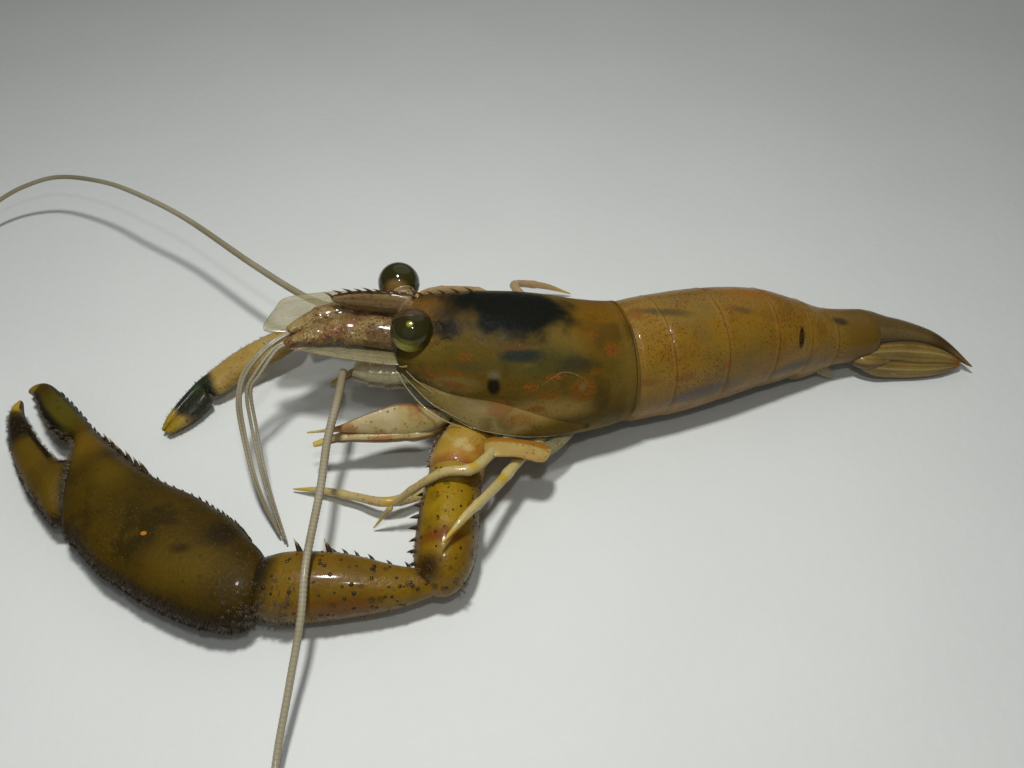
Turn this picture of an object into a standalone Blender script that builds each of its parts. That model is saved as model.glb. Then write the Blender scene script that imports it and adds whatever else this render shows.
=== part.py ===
"""A Caribbean longarm shrimp at life size, lying on its belly with its great left claw swept forward.

Lengths below are in millimetres. The head points to -X, the animal's left side to -Y, and up is +Z.
Places are measured on the floor that the shrimp lies on, and ORIGIN moves them to the middle of its footprint.
"""

import math
import random

import bmesh
import bpy
import numpy as np
from mathutils import Vector
from mathutils.bvhtree import BVHTree

# Driving dimensions, in millimetres
MM = 0.001
ORIGIN = (-11.23, -19.04, 0.0)
GAP = 0.3
BODY_SIDES = 24
LIMB_SIDES = 10
FINE_SIDES = 8
LEAN = 0.07  # the thorax is rolled a little away from the claw
EYE_RADIUS = 1.85
ANTENNA_RADII = {"left": 0.46, "right": 0.37}
ANTENNA_TIP_RADIUS = 0.26
FEELER_RADIUS = 0.27
BLADE = 0.27  # half of the thickness of a thin blade
SEED = 11

# The body's axis from the head to the tail fan: x, y, z, half width, rise to the back, drop to the belly
CARAPACE_STATIONS = (
    (-9.2, -1.7, 9.7, 3.5, 3.7, 3.0),
    (-7.4, -1.9, 9.3, 4.3, 4.4, 4.2),
    (-5.0, -2.2, 8.6, 5.2, 5.1, 5.6),
    (-1.0, -2.6, 7.6, 5.9, 5.8, 6.8),
    (3.4, -2.7, 6.7, 6.0, 5.85, 6.6),
    (6.6, -2.3, 6.3, 5.65, 5.6, 6.3),
    (9.3, -1.6, 6.0, 5.2, 5.35, 6.0),
)
ABDOMEN_SEAMS = (
    (9.5, -1.5, 5.95, 5.1, 5.55, 5.9),
    (12.4, -0.5, 5.7, 5.25, 5.6, 5.7),
    (17.4, 1.1, 5.4, 5.05, 5.45, 5.4),
    (22.6, 2.7, 4.85, 4.45, 4.75, 4.6),
    (26.6, 3.5, 4.15, 3.6, 3.65, 3.7),
    (30.0, 4.1, 3.6, 2.85, 2.65, 2.85),
    (34.7, 4.85, 3.25, 2.5, 2.3, 2.45),
)
PLEURON_SWELL = (0.0, 0.08, 0.06, 0.12, 0.42, 0.0)

COLOURS = {
    "shell": (0.45, 0.27, 0.08, 1.0),
    "tail": (0.62, 0.34, 0.10, 1.0),
    "claw": (0.22, 0.15, 0.04, 1.0),
    "pale": (0.62, 0.42, 0.20, 1.0),
    "eye": (0.05, 0.06, 0.02, 1.0),
    "feeler": (0.40, 0.34, 0.20, 1.0),
}


# Scene and materials
def clear_scene():
    for obj in list(bpy.data.objects):
        bpy.data.objects.remove(obj, do_unlink=True)


def new_collection(name):
    made = bpy.data.collections.new(name)
    bpy.context.scene.collection.children.link(made)
    return made


def new_material(name, kind):
    made = bpy.data.materials.new(name + "_finish")
    made.use_nodes = True
    shader = made.node_tree.nodes["Principled BSDF"]
    shader.inputs["Base Color"].default_value = COLOURS[kind]
    shader.inputs["Roughness"].default_value = 0.15 if kind == "eye" else 0.35
    shader.inputs["Metallic"].default_value = 0.0
    return made


clear_scene()
SHRIMP = new_collection("caribbean_longarm_shrimp")
CUTTERS = new_collection("cutters")


# Curves and rings
def smooth(rows, count):
    """Rows read from a smooth curve through the given ones, evenly spread over them."""
    rows = np.array(rows, float)
    ends = np.vstack([2 * rows[0] - rows[1], rows, 2 * rows[-1] - rows[-2]])
    read = []
    for place in np.linspace(0, len(rows) - 1, count):
        step = min(int(place), len(rows) - 2)
        t = place - step
        a, b, c, d = ends[step : step + 4]
        bend = (2 * a - 5 * b + 4 * c - d) * t**2 + (3 * b - a - 3 * c + d) * t**3
        read.append(b + 0.5 * ((c - a) * t + bend))
    return np.array(read)


def headings(centres):
    """The direction in which a line of points runs, at each of them."""
    ahead = np.gradient(np.array(centres, float), axis=0)
    return ahead / np.linalg.norm(ahead, axis=1)[:, None]


def round_power(value, power):
    return math.copysign(abs(value) ** (2 / power), value)


def on_floor(point):
    """A point in the shrimp's frame, never below the floor."""
    x, y, z = point
    return Vector(((x - ORIGIN[0]) * MM, (y - ORIGIN[1]) * MM, max(z, 0.0) * MM))


def ring(centre, side, lift, drop, sides, power=2.0, low_power=None, keel=0.0, hollow=0.0):
    """One closed outline: `side`, `lift` and `drop` reach from the centre to its edges."""
    points = []
    for index in range(sides):
        angle = 2 * math.pi * (index + 0.5) / sides
        above = math.sin(angle) > 0
        own_power = power if above else low_power or power
        across = round_power(math.cos(angle), own_power)
        upward = round_power(math.sin(angle), own_power)
        if above:
            across *= 1 - keel * upward**2
            points.append(centre + side * across + lift * upward)
        else:
            upward *= 1 - hollow * max(0.0, 1 - (across / 0.62) ** 2)
            points.append(centre + side * across + drop * upward)
    return points


def loft(name, kind, rings):
    """A closed skin through rings of points, with flat ends, as one object."""
    mesh = bpy.data.meshes.new(name)
    build = bmesh.new()
    rows = [[build.verts.new(on_floor(point)) for point in outline] for outline in rings]
    sides = len(rows[0])
    for near, far in zip(rows, rows[1:]):
        for index in range(sides):
            after = (index + 1) % sides
            build.faces.new((near[index], near[after], far[after]))
            build.faces.new((near[index], far[after], far[index]))
    build.faces.new(reversed(rows[0]))
    build.faces.new(rows[-1])
    bmesh.ops.recalc_face_normals(build, faces=build.faces)
    build.to_mesh(mesh)
    build.free()
    obj = bpy.data.objects.new(name, mesh)
    mesh.materials.append(new_material(name, kind))
    mesh.shade_smooth()
    SHRIMP.objects.link(obj)
    return obj


def body_rings(rows, aheads, lean=0.0, keel=None, low_power=2.15, hollow=0.0, swell=0.0):
    """Rings across the body's axis, from rows of x, y, z, half width, rise and drop."""
    rings = []
    for index, (row, ahead) in enumerate(zip(rows, aheads)):
        share = index / (len(rows) - 1)
        side = np.cross((0, 0, 1), ahead)
        side /= np.linalg.norm(side)
        up = np.cross(ahead, side) + lean * side * (1 if side[1] > 0 else -1)
        lobe = 1 + swell * (0.4 + 0.6 * max(0.0, math.sin(math.pi * share)) ** 0.7)
        rings.append(
            ring(
                row[:3],
                side * row[3],
                up * row[4],
                up * row[5] * lobe,
                BODY_SIDES,
                2.15,
                low_power(share) if callable(low_power) else low_power,
                keel(share) if keel else 0.0,
                hollow,
            )
        )
    return rings


def limb(name, kind, stations, count, sides=LIMB_SIDES):
    """A tapering limb along x, y, z and radius."""
    rows = smooth(stations, count)
    rings = []
    for row, ahead in zip(rows, headings(rows[:, :3])):
        hint = (0, 0, 1) if abs(ahead[2]) < 0.8 else (1, 0, 0)
        side = np.cross(hint, ahead)
        side /= np.linalg.norm(side)
        lift = np.cross(ahead, side)
        rings.append(ring(row[:3], side * row[3], lift * row[3], lift * row[3], sides))
    return loft(name, kind, rings)


def blade(name, kind, rows, sides=LIMB_SIDES, power=2.0):
    """A piece between two edges: rows of one edge's x, y, z, the other's, and half the thickness."""
    rows = np.array(rows, float)
    centres = (rows[:, :3] + rows[:, 3:6]) / 2
    rings = []
    for row, centre, ahead in zip(rows, centres, headings(centres)):
        side = (row[:3] - row[3:6]) / 2
        lift = np.cross(ahead, side)
        lift *= row[6] / np.linalg.norm(lift)
        rings.append(ring(centre, side, lift, lift, sides, power))
    return loft(name, kind, rings)


def feeler(name, route, start_radius, end_radius, count, thin=2):
    """A whip of round section, drawn as a curve with a bevel, from start_radius to end_radius."""
    curve = bpy.data.curves.new(name, "CURVE")
    curve.dimensions = "3D"
    curve.bevel_depth = start_radius * MM
    curve.bevel_resolution = thin
    curve.use_fill_caps = True
    line = curve.splines.new("POLY")
    points = smooth(route, count)
    line.points.add(count - 1)
    for index, point in enumerate(points):
        share = index / (count - 1)
        radius = start_radius + (end_radius - start_radius) * share
        point[2] = max(point[2], radius)
        line.points[index].co = (*on_floor(point), 1.0)
        line.points[index].radius = radius / start_radius
    curve.materials.append(new_material(name, "feeler"))
    obj = bpy.data.objects.new(name, curve)
    SHRIMP.objects.link(obj)
    return as_mesh(obj)


def as_mesh(obj):
    """A curve object turned into a closed mesh object of the same name."""
    graph = bpy.context.evaluated_depsgraph_get()
    mesh = bpy.data.meshes.new_from_object(obj.evaluated_get(graph))
    name = obj.name
    place = obj.matrix_world.copy()
    bpy.data.objects.remove(obj, do_unlink=True)
    made = bpy.data.objects.new(name, mesh)
    made.matrix_world = place
    SHRIMP.objects.link(made)
    build = bmesh.new()
    build.from_mesh(mesh)
    bmesh.ops.remove_doubles(build, verts=build.verts, dist=1e-6)
    bmesh.ops.recalc_face_normals(build, faces=build.faces)
    build.to_mesh(mesh)
    build.free()
    mesh.shade_smooth()
    return made


# Joining and parting
def keep_largest(obj):
    """Drops all but the largest closed surface, such as a scrap or a sealed hollow."""
    build = bmesh.new()
    build.from_mesh(obj.data)
    bmesh.ops.remove_doubles(build, verts=build.verts, dist=2e-6)
    left = set(build.faces)
    shells = []
    while left:
        shell = set()
        reach = [left.pop()]
        while reach:
            face = reach.pop()
            shell.add(face)
            for edge in face.edges:
                for other in edge.link_faces:
                    if other in left:
                        left.remove(other)
                        reach.append(other)
        shells.append(shell)
    shells.sort(key=lambda shell: sum(face.calc_area() for face in shell))
    dropped = [face for shell in shells[:-1] for face in shell]
    if dropped:
        bmesh.ops.delete(build, geom=dropped, context="FACES")
    loose = [vert for vert in build.verts if not vert.link_faces]
    if loose:
        bmesh.ops.delete(build, geom=loose, context="VERTS")
    build.to_mesh(obj.data)
    build.free()


def apply_boolean(obj, operation, others):
    """Runs one Boolean with all the other objects on obj, applies it and removes them."""
    for other in others:
        for holder in list(other.users_collection):
            holder.objects.unlink(other)
        CUTTERS.objects.link(other)
        other.hide_render = True
        other.display_type = "WIRE"
    modifier = obj.modifiers.new(operation.lower(), "BOOLEAN")
    modifier.operation = operation
    modifier.operand_type = "COLLECTION"
    modifier.collection = CUTTERS
    modifier.solver = "EXACT"
    bpy.context.view_layer.update()
    graph = bpy.context.evaluated_depsgraph_get()
    mesh = bpy.data.meshes.new_from_object(obj.evaluated_get(graph))
    obj.modifiers.remove(modifier)
    obj.data = mesh
    for other in others:
        bpy.data.objects.remove(other, do_unlink=True)
    keep_largest(obj)


def part_from(piece, *bodies):
    """Cuts a piece back so that it stands GAP clear of what it grows from or crosses."""
    cutters = []
    for body in bodies:
        mesh = body.data.copy()
        mesh.materials.clear()
        swollen = bmesh.new()
        swollen.from_mesh(mesh)
        swollen.normal_update()
        for vert in swollen.verts:
            vert.co += vert.normal * (GAP * 1.04 * MM)
        swollen.to_mesh(mesh)
        swollen.free()
        cutters.append(bpy.data.objects.new(body.name + "_swollen", mesh))
    for cutter in cutters:
        CUTTERS.objects.link(cutter)
        apply_boolean(piece, "DIFFERENCE", [cutter])


def spine(root, direction, length, radius, sides=5):
    """One cone that stands on the point `root`, which is in metres, and is sunk well into the shell there."""
    mesh = bpy.data.meshes.new("spine")
    build = bmesh.new()
    sink = radius * 1.3
    bmesh.ops.create_cone(
        build,
        cap_ends=True,
        cap_tris=False,
        segments=sides,
        radius1=radius * MM,
        radius2=0.0,
        depth=(length + sink) * MM,
    )
    aim = Vector(direction).normalized()
    turn = Vector((0, 0, 1)).rotation_difference(aim).to_matrix().to_4x4()
    bmesh.ops.transform(build, matrix=turn, verts=build.verts)
    bmesh.ops.translate(build, vec=root + aim * ((length - sink) / 2 * MM), verts=build.verts)
    build.to_mesh(mesh)
    build.free()
    obj = bpy.data.objects.new("spine", mesh)
    CUTTERS.objects.link(obj)
    return obj


# Rows of spines: what carries them, the line they follow, the way in to the shell, the way they lean, and
# then their number, length and root radius
SPINE_ROWS = (
    ("rostrum", ((-14.9, -0.5, 13.6), (-11.6, -0.9, 14.2), (-8.9, -1.1, 14.2)), (0, 0, -1), (-1.2, 0, 0), 7,
     0.75, 0.24),
    ("rostrum", ((-14.3, -0.7, 12.0), (-11.4, -1.0, 11.0)), (0, 0, 1), (-1.2, 0, 0), 3, 0.5, 0.2),
    ("carapace", ((-8.3, -1.6, 14.5), (-5.6, -1.9, 14.5), (-2.9, -2.3, 14.5)), (0, 0, -1), (-1.0, 0, 0), 6,
     0.75, 0.24),
    ("carapace", ((-8.9, -7.0, 9.7), (-8.7, -7.0, 9.7)), (0, 1, 0), (-2.6, 0, 0), 1, 1.0, 0.3),
    ("carapace", ((-6.9, -8.0, 8.6), (-6.7, -8.0, 8.6)), (0, 1, 0), (-1.4, 0, 0), 1, 0.8, 0.3),
    ("carapace", ((-8.9, 4.0, 9.3), (-8.7, 4.0, 9.3)), (0, -1, 0), (-2.6, 0, 0), 1, 1.0, 0.3),
    ("carapace", ((-5.9, 5.0, 8.6), (-5.7, 5.0, 8.6)), (0, -1, 0), (-1.2, 0, 0), 1, 0.8, 0.3),
    ("claw_left_ischium", ((-6.2, -8.4, 5.0), (-6.6, -11.6, 4.8)), (1, 0, 0), (0, -0.4, 0), 6, 0.35, 0.17),
    ("claw_left_merus", ((-8.2, -13.8, 4.8), (-8.5, -20.7, 4.1)), (1, 0, -0.1), (0, -0.1, 0.2), 9, 0.95, 0.24),
    ("claw_left_merus", ((-8.2, -14.4, 3.6), (-8.5, -19.9, 2.9)), (1, 0, 0.1), (0, -0.3, -0.2), 6, 0.6, 0.22),
    ("claw_left_carpus", ((-9.0, -19.6, 3.0), (-13.5, -18.6, 3.4), (-18.6, -18.8, 3.4)), (0, -1, -0.1),
     (-0.3, 0, 0.1), 8, 0.75, 0.22),
    ("claw_left_palm", ((-21.4, -17.0, 3.2), (-23.4, -14.2, 3.2), (-26.4, -12.0, 3.2), (-31.5, -9.0, 3.0),
                        (-35.6, -5.9, 2.8), (-39.0, -2.8, 2.7), (-42.6, 0.4, 2.6)), (0.4, -1, 0),
     (-0.1, 0, 0), 26, 0.75, 0.22),
    ("claw_left_finger", ((-41.6, -15.6, 2.6), (-45.3, -10.4, 2.6), (-46.8, -6.0, 2.5)), (1, 0.35, 0),
     (-0.1, 0.9, 0), 11, 0.4, 0.19),
)


def on_shell(skin, place, inward):
    """Where a straight line through `place` first meets the shell from outside, in metres."""
    inward = Vector(inward).normalized()
    x, y, z = Vector(place) - inward * 3.0
    start = Vector(((x - ORIGIN[0]) * MM, (y - ORIGIN[1]) * MM, z * MM))
    hit = skin.ray_cast(start, inward)[0]
    if hit is None:
        raise ValueError(f"no shell under the spine at {tuple(place)}")
    return hit


def grow_spines():
    """Roots every row's cones on the shell and joins those of one piece to it in one go."""
    grown = {}
    for name, route, inward, lean, count, length, radius in SPINE_ROWS:
        build = bmesh.new()
        build.from_mesh(SHRIMP.objects[name].data)
        skin = BVHTree.FromBMesh(build)
        build.free()
        line = smooth(route, 2 * count + 1)[1::2]
        for place in line:
            out = -Vector(inward).normalized() + Vector(lean)
            out += Vector([random.uniform(-0.1, 0.1) for _ in range(3)])
            tall = length * random.uniform(0.75, 1.2)
            root = on_shell(skin, place, inward)
            grown.setdefault(name, []).append(spine(root, out, tall, radius))
    for name, spines in grown.items():
        apply_boolean(SHRIMP.objects[name], "UNION", spines)


# Head and thorax
def make_carapace():
    rows = smooth(CARAPACE_STATIONS, 12)

    def keel(share):
        return 0.5 * max(0.0, 1 - share / 0.62)

    def flank(share):
        return 2.1 - 0.5 * share

    rings = body_rings(rows, headings(rows[:, :3]), lean=LEAN, keel=keel, low_power=flank)
    loft("carapace", "shell", rings)


def make_rostrum():
    """The blade over the eyes: upper edge, lower edge and half thickness, from the brow to the tip."""
    rows = (
        ((-8.3, -1.1, 13.6), (-8.3, -1.3, 11.6), 0.75),
        ((-10.5, -1.0, 13.9), (-10.5, -1.1, 11.7), 0.55),
        ((-12.8, -0.8, 13.8), (-12.8, -0.9, 11.7), 0.42),
        ((-14.4, -0.6, 13.4), (-14.4, -0.7, 12.1), 0.34),
        ((-15.4, -0.5, 13.0), (-15.4, -0.5, 12.7), 0.2),
    )
    blade("rostrum", "shell", [(*top, *low, half) for top, low, half in rows])


def make_eyes():
    eyes = {"left": (-8.3, -3.8, 12.2), "right": (-10.1, 3.2, 11.3)}
    roots = {"left": (-9.2, -1.6, 10.9), "right": (-9.2, -0.2, 10.9)}
    for side, centre in eyes.items():
        mesh = bpy.data.meshes.new("eye_" + side)
        build = bmesh.new()
        bmesh.ops.create_uvsphere(build, u_segments=14, v_segments=9, radius=EYE_RADIUS * MM)
        bmesh.ops.translate(build, vec=on_floor(centre), verts=build.verts)
        build.to_mesh(mesh)
        build.free()
        mesh.materials.append(new_material("eye_" + side, "eye"))
        mesh.shade_smooth()
        eye = bpy.data.objects.new("eye_" + side, mesh)
        SHRIMP.objects.link(eye)
        root = roots[side]
        elbow = ((root[0] + centre[0]) / 2 - 0.4, (root[1] + centre[1]) / 2, 11.4, 1.05)
        limb("eyestalk_" + side, "pale", ((*root, 1.0), elbow, (*centre, 1.4)), 6)


def make_antennules():
    """The stout first feelers' stems, side by side under the rostrum."""
    left = ((-8.0, -2.6, 9.9, 1.15), (-11.5, -2.2, 10.4, 1.15), (-15.0, -2.2, 10.5, 1.0),
            (-18.3, -2.5, 10.4, 0.75))
    right = ((-8.0, 0.2, 9.9, 1.15), (-11.5, 0.6, 10.4, 1.15), (-15.5, 0.6, 10.5, 1.0),
             (-19.0, 0.3, 10.4, 0.75))
    for name, stations in (("left", left), ("right", right)):
        limb("antennule_" + name, "pale", stations, 9)


def make_flagella():
    """The antennules' fine whips, which droop in one bundle to the floor by the great claw's wrist."""
    routes = {
        "flagellum_outer_left": ((-18.7, -3.1, 10.7), (-20.4, -4.5, 10.5), (-21.4, -5.9, 9.0),
                                 (-21.6, -7.8, 7.2), (-21.1, -10.1, 5.5), (-19.9, -13.8, 3.6),
                                 (-18.9, -16.2, 2.0), (-18.3, -17.7, 0.9)),
        "flagellum_inner_left": ((-18.8, -2.1, 10.8), (-21.2, -3.9, 10.8), (-22.4, -6.1, 8.8),
                                 (-22.8, -8.1, 6.8), (-22.3, -10.0, 5.2), (-20.9, -13.5, 3.2),
                                 (-19.7, -16.0, 1.4)),
        "flagellum_outer_right": ((-19.4, 0.8, 10.5), (-22.6, 0.4, 10.2), (-24.3, -1.8, 8.8),
                                  (-24.6, -5.2, 6.8), (-24.0, -8.6, 4.8), (-22.4, -12.6, 2.4),
                                  (-21.2, -15.4, 0.6)),
        "flagellum_inner_right": ((-19.4, -0.2, 10.5), (-22.2, -1.4, 10.1), (-23.4, -3.4, 7.8),
                                  (-23.5, -6.2, 5.6), (-22.6, -9.4, 3.6), (-20.8, -12.6, 1.7),
                                  (-19.7, -14.4, 0.5)),
    }
    for name, route in routes.items():
        feeler(name, route, FEELER_RADIUS + 0.04, FEELER_RADIUS, 16, thin=1)


def make_antennae():
    """The long second feelers: a stem, a broad scale over it and a whip in three lengths."""
    stems = {
        "left": ((-7.6, -4.4, 7.4, 1.15), (-11.0, -4.6, 7.5, 1.1), (-13.7, -4.1, 7.7, 0.85)),
        "right": ((-7.6, 1.8, 7.4, 1.15), (-11.0, 3.0, 7.3, 1.1), (-15.0, 3.1, 7.7, 0.8)),
    }
    for side, stations in stems.items():
        limb("antenna_base_" + side, "pale", stations, 6)
    scales = {
        "left": (
            ((-8.0, -5.2, 9.4), (-8.0, -2.8, 8.9)),
            ((-11.0, -5.2, 9.6), (-11.0, -1.9, 8.7)),
            ((-15.0, -4.7, 9.9), (-15.0, -1.3, 8.6)),
            ((-18.4, -4.0, 10.1), (-18.6, -1.1, 8.7)),
            ((-20.6, -3.4, 10.0), (-20.9, -2.0, 9.2)),
            ((-21.4, -2.9, 9.9), (-21.5, -2.5, 9.7)),
        ),
        "right": (
            ((-8.0, 3.0, 9.0), (-8.0, 1.2, 8.6)),
            ((-11.0, 4.4, 9.0), (-11.0, 1.2, 8.4)),
            ((-15.5, 4.3, 9.4), (-15.5, 0.2, 8.5)),
            ((-20.4, 3.5, 9.4), (-19.4, -0.5, 8.7)),
            ((-21.4, 2.0, 9.3), (-21.2, -0.7, 8.9)),
            ((-22.1, 0.0, 9.1), (-22.0, -0.5, 9.0)),
        ),
    }
    for side, rows in scales.items():
        blade("antenna_scale_" + side, "pale", [(*a, *b, BLADE) for a, b in rows])
    routes = {
        "left": ((-14.6, -4.3, 7.8), (-14.6, -7.8, 8.0), (-15.0, -11.5, 7.4), (-15.0, -16.2, 6.9),
                 (-15.2, -22.4, 6.5), (-15.2, -26.3, 5.2), (-15.7, -30.6, 3.2), (-16.1, -35.3, 1.6),
                 (-15.8, -41.0, 0.7), (-14.0, -48.0, 0.3), (-10.5, -55.0, 0.3), (-5.0, -61.0, 0.3),
                 (3.0, -64.8, 0.3)),
        "right": ((-15.5, 3.2, 7.9), (-19.2, 4.4, 8.6), (-24.7, 8.3, 9.2), (-32.9, 15.4, 9.2),
                  (-39.1, 19.6, 9.2), (-44.4, 23.4, 8.0), (-50.2, 26.2, 6.6), (-54.2, 26.5, 5.4),
                  (-57.5, 25.3, 4.2), (-61.0, 22.0, 2.6), (-64.0, 17.0, 1.4), (-66.0, 11.0, 0.7),
                  (-66.8, 4.0, 0.3), (-66.0, -3.0, 0.3)),
    }
    lengths = 3
    steps = 15
    for side, route in routes.items():
        whole = smooth(route, lengths * steps + 1)
        for length in range(lengths):
            own = whole[length * steps : (length + 1) * steps + 1].copy()
            if length:
                ahead = own[1] - own[0]
                own[0] += ahead / np.linalg.norm(ahead) * GAP
            start = ANTENNA_RADII[side]
            radii = [start + (ANTENNA_TIP_RADIUS - start) * (length + end) / lengths for end in (0, 1)]
            feeler(f"antenna_{side}_{length + 1}", own, *radii, steps)


# Tail
def make_abdomen():
    """Six hoops of shell, each with a lobe on its sides and swimming limbs folded under it."""
    steps = 5
    whole = smooth(ABDOMEN_SEAMS, steps * (len(ABDOMEN_SEAMS) - 1) + 1)
    at_seams = headings(np.array(ABDOMEN_SEAMS)[:, :3])
    places = np.linspace(0, len(at_seams) - 1, len(whole))
    aheads = np.stack([np.interp(places, range(len(at_seams)), axis) for axis in at_seams.T], axis=1)
    aheads /= np.linalg.norm(aheads, axis=1)[:, None]
    for index, swell in enumerate(PLEURON_SWELL):
        rows = whole[index * steps : (index + 1) * steps + 1].copy()
        own = aheads[index * steps : (index + 1) * steps + 1]
        rows[0, :3] += own[0] * GAP
        made = loft(f"abdomen_{index + 1}", "tail", body_rings(rows, own, low_power=2.05, hollow=0.34, swell=swell))
        if index < 5:
            pleopods(made, rows[0], rows[-1])


def pleopods(somite, front, rear):
    """A pair of leaf-shaped swimming limbs, hanging back from the hollow of the belly."""
    run = (rear - front)[:3]
    side = np.cross((0, 0, 1), run)
    side /= np.linalg.norm(side)
    leaves = []
    for hand in (-1, 1):
        out = side * hand * front[3] * 0.24
        root = front[:3] + run * 0.34 + out
        tip = front[:3] + run * 0.84 + out * 1.2
        root[2] -= front[5] * 0.52
        tip[2] = 0.34
        rows = []
        for share, wide in ((0.0, 0.45), (0.4, 0.75), (0.75, 0.6), (1.0, 0.2)):
            centre = root + (tip - root) * share
            rows.append((*(centre + side * wide), *(centre - side * wide), BLADE))
        leaves.append(blade("leaf", "tail", rows, sides=6))
    apply_boolean(somite, "UNION", leaves)


def make_tail_fan():
    """The pointed telson between two pairs of blades folded along it."""
    telson = (
        ((34.2, 6.6, 3.9), (34.2, 3.7, 3.9), 1.35),
        ((36.0, 6.6, 3.7), (36.0, 3.9, 3.6), 1.2),
        ((38.5, 6.4, 3.2), (38.5, 4.2, 3.1), 0.95),
        ((41.2, 6.0, 2.4), (41.2, 4.3, 2.3), 0.7),
        ((43.0, 5.1, 1.7), (43.0, 3.8, 1.6), 0.5),
        ((44.7, 3.1, 1.0), (44.6, 2.7, 1.0), 0.2),
    )
    blade("telson", "tail", [(*a, *b, half) for a, b, half in telson])
    fans = {
        "uropod_inner_left": (((34.4, 3.0, 3.7), (34.4, 2.4, 2.6)), ((36.6, 3.3, 3.2), (36.8, 2.8, 2.1)),
                              ((39.0, 3.5, 2.7), (39.2, 2.7, 1.7)), ((41.4, 3.6, 2.1), (41.6, 2.85, 1.45)),
                              ((43.4, 3.4, 1.3), (43.5, 3.1, 1.15))),
        "uropod_outer_left": (((34.4, 2.6, 2.2), (34.4, 1.9, 1.3)), ((36.6, 2.5, 1.5), (36.8, 1.8, 0.5)),
                              ((39.0, 2.3, 1.2), (39.2, 1.85, 0.35)), ((41.4, 2.45, 1.0), (41.6, 2.2, 0.3)),
                              ((43.0, 2.8, 0.75), (43.0, 2.6, 0.45))),
        "uropod_inner_right": (((34.4, 7.1, 3.6), (34.4, 7.6, 2.5)), ((36.6, 7.1, 3.0), (36.8, 7.7, 2.0)),
                               ((39.0, 6.9, 2.4), (39.2, 7.7, 1.5)), ((41.4, 6.2, 1.8), (41.6, 6.8, 1.2)),
                               ((43.0, 5.3, 1.1), (43.0, 5.5, 0.9))),
        "uropod_outer_right": (((34.4, 7.5, 2.0), (34.4, 8.1, 1.2)), ((36.6, 7.8, 1.3), (36.8, 8.5, 0.5)),
                               ((39.0, 7.7, 1.0), (39.2, 8.3, 0.35)), ((41.4, 6.9, 0.8), (41.6, 7.3, 0.3)),
                               ((42.6, 6.0, 0.6), (42.6, 6.2, 0.35))),
    }
    for name, rows in fans.items():
        blade(name, "tail", [(*a, *b, BLADE) for a, b in rows], sides=8)


# Limbs
def make_mouth_limbs():
    """The third maxillipeds and the slender first legs, held forward under the head."""
    routes = {
        "maxilliped_left": ((-6.0, -4.2, 6.6, 0.9), (-8.6, -6.4, 6.3, 1.0), (-11.5, -7.6, 6.1, 0.75),
                            (-14.3, -8.2, 5.8, 0.3)),
        "leg1_left": ((-5.0, -4.0, 4.6, 0.8), (-6.6, -7.6, 4.3, 0.85), (-10.5, -8.5, 4.2, 0.7),
                      (-14.5, -8.8, 4.3, 0.5), (-17.1, -9.4, 4.0, 0.25)),
        "maxilliped_right": ((-6.0, 0.2, 6.6, 0.9), (-8.8, 1.4, 5.2, 0.9), (-11.5, 1.6, 4.9, 0.75),
                             (-14.6, 1.0, 4.6, 0.3)),
        "leg1_right": ((-5.0, 0.6, 4.4, 0.8), (-7.6, 2.2, 3.4, 0.8), (-11.0, 2.6, 2.6, 0.6),
                       (-14.5, 1.6, 1.8, 0.5), (-17.4, 0.4, 0.9, 0.25)),
    }
    for name, stations in routes.items():
        limb(name, "pale", stations, 9, sides=FINE_SIDES)


def make_walking_legs():
    """Three thin legs a side, each to a knee, then down to a pointed toe."""
    routes = {
        "leg3_left": ((-1.8, -4.5, 3.0, 0.6), (-2.6, -7.6, 2.0, 0.6), (-6.8, -12.0, 1.2, 0.55),
                      (-10.4, -13.9, 2.0, 0.55), (-13.4, -12.9, 1.3, 0.45), (-16.5, -11.9, 0.8, 0.38),
                      (-19.2, -11.4, 0.3, 0.22)),
        "leg4_left": ((1.0, -4.5, 3.4, 0.7), (0.2, -8.8, 5.2, 0.7), (-1.3, -11.6, 6.3, 0.6),
                      (-3.1, -14.5, 7.5, 0.55), (-5.4, -14.8, 7.4, 0.5), (-8.0, -15.0, 5.3, 0.42),
                      (-9.8, -15.2, 3.3, 0.35), (-11.7, -15.4, 0.25, 0.22)),
        "leg5_left": ((3.6, -4.5, 3.4, 0.7), (2.4, -8.8, 4.4, 0.7), (0.7, -11.6, 5.0, 0.6),
                      (-0.8, -14.1, 5.4, 0.55), (-2.2, -16.8, 6.7, 0.48), (-3.6, -18.9, 7.3, 0.4),
                      (-5.3, -21.0, 6.8, 0.22)),
        "leg3_right": ((-1.2, 0.0, 3.0, 0.6), (-2.6, 5.6, 3.6, 0.6), (-5.4, 10.0, 4.2, 0.55),
                       (-9.0, 10.9, 2.6, 0.45), (-12.0, 10.8, 1.2, 0.38), (-14.5, 10.3, 0.25, 0.22)),
        "leg4_right": ((1.2, 0.0, 3.2, 0.7), (-0.4, 6.4, 4.2, 0.7), (-2.8, 10.2, 4.6, 0.6),
                       (-5.3, 12.0, 3.6, 0.5), (-8.6, 13.0, 1.6, 0.4), (-11.2, 13.0, 0.25, 0.22)),
        "leg5_right": ((3.6, 0.0, 3.2, 0.7), (2.4, 6.6, 4.0, 0.7), (0.4, 11.0, 4.3, 0.6),
                       (0.6, 13.0, 3.3, 0.5), (3.4, 14.1, 1.9, 0.42), (6.3, 14.2, 0.25, 0.22)),
    }
    for name, stations in routes.items():
        limb(name, "pale", stations, 12, sides=FINE_SIDES)


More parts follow.
